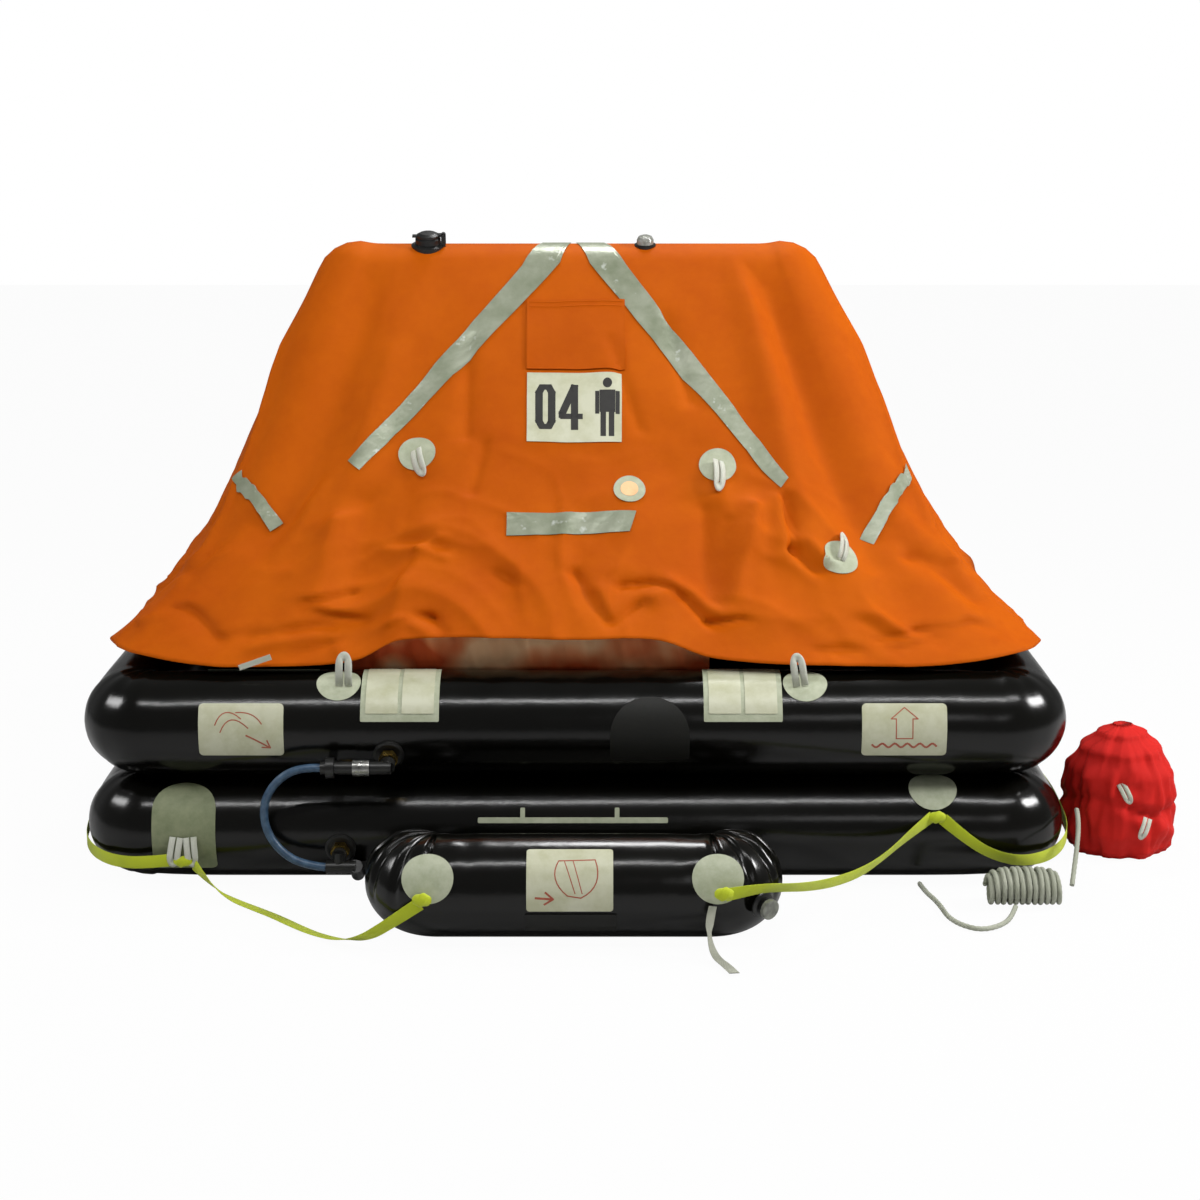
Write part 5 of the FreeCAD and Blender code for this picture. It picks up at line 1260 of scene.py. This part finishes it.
hank_core()
DROGUE_TAIL = route(
    (956, -790, 34), (965, -762, 62), (976, -725, 92), (986, -682, 112), (994, -636, 122), (1000, -590, 124))
DROGUE_LOOP = route(
    (836, -862, 16), (822, -900, 7), (796, -938, 5.5), (756, -962, 5.5), (722, -934, 5.5),
    (704, -888, 5.5), (700, -838, 5.5), (693, -790, 5.5), (681, -744, 5.5), (676, -696, 5.5))
laid_rope("hank_rope", hank_turns(), ROPE, ["line_hank"])
laid_rope("drogue_rope", DROGUE_TAIL, ROPE, ["drogue_tail"])
laid_rope("loose_rope", DROGUE_LOOP, ROPE, ["drogue_line"])


def bag_piece():
    """The stowed drogue: a soft red bundle pinched by its cord."""
    low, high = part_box("drogue_bag")
    middle = (low + high) / 2
    levels = [(0.0, 0.80), (0.06, 0.90), (0.2, 1.0), (0.45, 1.0), (0.62, 0.94), (0.8, 0.74), (0.93, 0.44),
              (1.0, 0.16)]
    rows = []
    for part in steps(0, 1, 60):
        for (z0, r0), (z1, r1) in zip(levels, levels[1:]):
            if z0 <= part <= z1:
                share = (part - z0) / (z1 - z0)
                share = share * share * (3 - 2 * share)
                size = r0 + (r1 - r0) * share
                break
        row = []
        for index in range(120):
            angle = 2 * math.pi * index / 120
            spot = Vector((math.cos(angle) * 1.6, math.sin(angle) * 1.6, part * 1.7 + 0.5 * math.sin(angle)))
            fold = 0.08 * noise.noise(spot * 1.4) - 0.13 * abs(noise.noise(spot * 2.3 + Z * 4.0))
            fold -= 0.07 * abs(noise.noise(Vector((spot.x * 3.4, spot.y * 3.4, part * 2.0))))
            fold += 0.05 + 0.03 * math.sin(9 * angle + 5 * part + 3 * noise.noise(spot))
            pinch = 0.08 * math.exp(-((part - 0.42 - 0.06 * math.sin(2 * angle)) / 0.05) ** 2)
            reach = size * (0.93 + fold - pinch)
            reach = min(reach, 1.0)
            row.append(Vector((middle.x + (high.x - low.x) / 2 * reach * math.cos(angle),
                               middle.y + (high.y - low.y) / 2 * reach * math.sin(angle),
                               low.z + 0.0005 + (high.z - low.z - 0.001) * part)))
        rows.append(row)
    bm = bmesh.new()
    grid = add_grid(bm, rows, close_v=True)
    bm.faces.new(list(reversed(grid[0])))
    bm.faces.new(grid[-1])
    piece("drogue", bm, RED, ["drogue_bag"])
    for index, (across, height, lean) in enumerate(((-0.020, 0.62, 0.5), (0.034, 0.36, -0.4))):
        reach = (high.y - low.y) / 2 * (0.93 if index else 0.80)
        base = Vector((middle.x + across, middle.y - reach, low.z + (high.z - low.z) * height))
        loop_piece("drogue_loop_%d" % (index + 1), base, Vector((lean, -0.25, -1)), forward, 0.046, 0.018)


bag_piece()


# ------------------------------------------------------------------ label drawings
def print_on(name, bars, tube, x, angle):
    lay_flat(name, bars, on_tube(tube, x, angle), RED_INK,
             thickness=0.00015, lift=0.0008, grain=0.006)


arrow = stroke([(-0.016, -0.016), (-0.016, 0.022), (-0.026, 0.022), (0.0, 0.044), (0.026, 0.022),
                (0.016, 0.022),
                (0.016, -0.016), (-0.016, -0.016)], 0.0022)
wave_line = [(x, -0.030 + 0.004 * math.sin(x * 260)) for x in steps(-0.062, 0.062, 40)]
print_on("print_b", arrow + stroke(wave_line, 0.004), upper, 0.636, 6)
curls = stroke(curve_points((-0.050, 0.010), (-0.030, 0.034), (0.0, 0.022)), 0.0022)
curls += stroke(curve_points((-0.040, -0.004), (-0.018, 0.020), (0.014, 0.004)), 0.0022)
curls += stroke(curve_points((-0.010, 0.034), (0.020, 0.030), (0.040, 0.012)), 0.0022)
curls += stroke(curve_points((0.010, -0.010), (0.030, -0.020), (0.054, -0.034)), 0.0032)
curls += stroke([(0.040, -0.034), (0.056, -0.035), (0.050, -0.020)], 0.0030)
print_on("print_a", curls, upper, -0.644, 6)
boat = stroke(curve_points((-0.020, 0.034), (-0.026, 0.0), (-0.004, -0.030)), 0.0022)
boat += stroke(curve_points((0.046, 0.036), (0.048, -0.006), (0.020, -0.034)), 0.0022)
boat += (stroke([(-0.020, 0.034), (0.046, 0.036)], 0.0022)
         + stroke([(-0.004, -0.030), (0.020, -0.034)], 0.0022))
for offset in (0.012, 0.028):
    boat += stroke([(-0.022 + offset, 0.034), (0.0 + offset * 0.8, -0.026)], 0.0018)
boat += (stroke([(-0.062, -0.034), (-0.034, -0.036)], 0.0040)
         + stroke([(-0.044, -0.024), (-0.030, -0.036), (-0.046, -0.046)], 0.0036))
print_on("print_c", boat, ramp, -0.006, 25)


# ------------------------------------------------------------------- stage, light
def floor_material():
    """Pale floor; what the camera and transmission rays see of it is mostly its own white."""
    made = Surface("pale_floor")
    made.shader.inputs["Base Color"].default_value = (0.60, 0.60, 0.60, 1)
    made.shader.inputs["Roughness"].default_value = 0.9
    glow = made.node("ShaderNodeEmission", Color=(1, 1, 1, 1), Strength=1.0)
    rays = made.node("ShaderNodeLightPath")
    seen = made.node("ShaderNodeMath", operation="MAXIMUM")
    made.tree.links.new(rays.outputs["Is Camera Ray"], seen.inputs[0])
    made.tree.links.new(rays.outputs["Is Transmission Ray"], seen.inputs[1])
    share = made.spread(seen.outputs[0], 0.0, 0.965)
    mix = made.node("ShaderNodeMixShader")
    made.tree.links.new(share, mix.inputs["Fac"])
    made.tree.links.new(made.shader.outputs[0], mix.inputs[1])
    made.tree.links.new(glow.outputs[0], mix.inputs[2])
    made.tree.links.new(mix.outputs[0], made.tree.nodes["Material Output"].inputs["Surface"])
    return made.material


bm = bmesh.new()
bmesh.ops.create_grid(bm, x_segments=1, y_segments=1, size=14)
mesh = bpy.data.meshes.new("floor")
bm.to_mesh(mesh)
bm.free()
mesh.materials.append(floor_material())
floor = bpy.data.objects.new("floor", mesh)
floor.location = (0, 0, -0.0015)
bpy.context.scene.collection.objects.link(floor)


def area_light(name, place, target, size, power):
    data = bpy.data.lights.new(name, "AREA")
    data.shape = "RECTANGLE"
    data.size, data.size_y = size
    data.energy = power
    light = bpy.data.objects.new(name, data)
    light.location = place
    light.rotation_euler = (Vector(target) - Vector(place)).to_track_quat("-Z", "Y").to_euler()
    bpy.context.scene.collection.objects.link(light)


area_light("overhead", (0.4, -2.2, 3.4), (0, -0.6, 0.3), (4.5, 0.06), 76)
area_light("front", (1.2, -5.2, 2.4), (0, 0, 0.5), (1.0, 0.8), 6)
area_light("right", (3.6, -0.9, 2.5), (0, -0.3, 0.6), (0.9, 0.8), 108)
area_light("left", (-3.4, -0.9, 2.2), (-0.4, -0.3, 0.6), (0.7, 0.7), 28)
area_light("behind", (0.2, 1.0, 3.3), (0, -0.3, 0.6), (0.8, 0.6), 42)


def make_world():
    world = bpy.data.worlds.new("world")
    bpy.context.scene.world = world
    world.use_nodes = True
    tree = world.node_tree
    tree.nodes.clear()
    output = tree.nodes.new("ShaderNodeOutputWorld")
    light = tree.nodes.new("ShaderNodeBackground")
    light.inputs["Color"].default_value = (1, 1, 1, 1)
    light.inputs["Strength"].default_value = 0.19
    backdrop = tree.nodes.new("ShaderNodeBackground")
    backdrop.inputs["Color"].default_value = (1, 1, 1, 1)
    backdrop.inputs["Strength"].default_value = 1.0
    rays = tree.nodes.new("ShaderNodeLightPath")
    mix = tree.nodes.new("ShaderNodeMixShader")
    tree.links.new(rays.outputs["Is Camera Ray"], mix.inputs["Fac"])
    tree.links.new(light.outputs[0], mix.inputs[1])
    tree.links.new(backdrop.outputs[0], mix.inputs[2])
    tree.links.new(mix.outputs[0], output.inputs["Surface"])


make_world()
bpy.context.scene.view_settings.view_transform = "Standard"
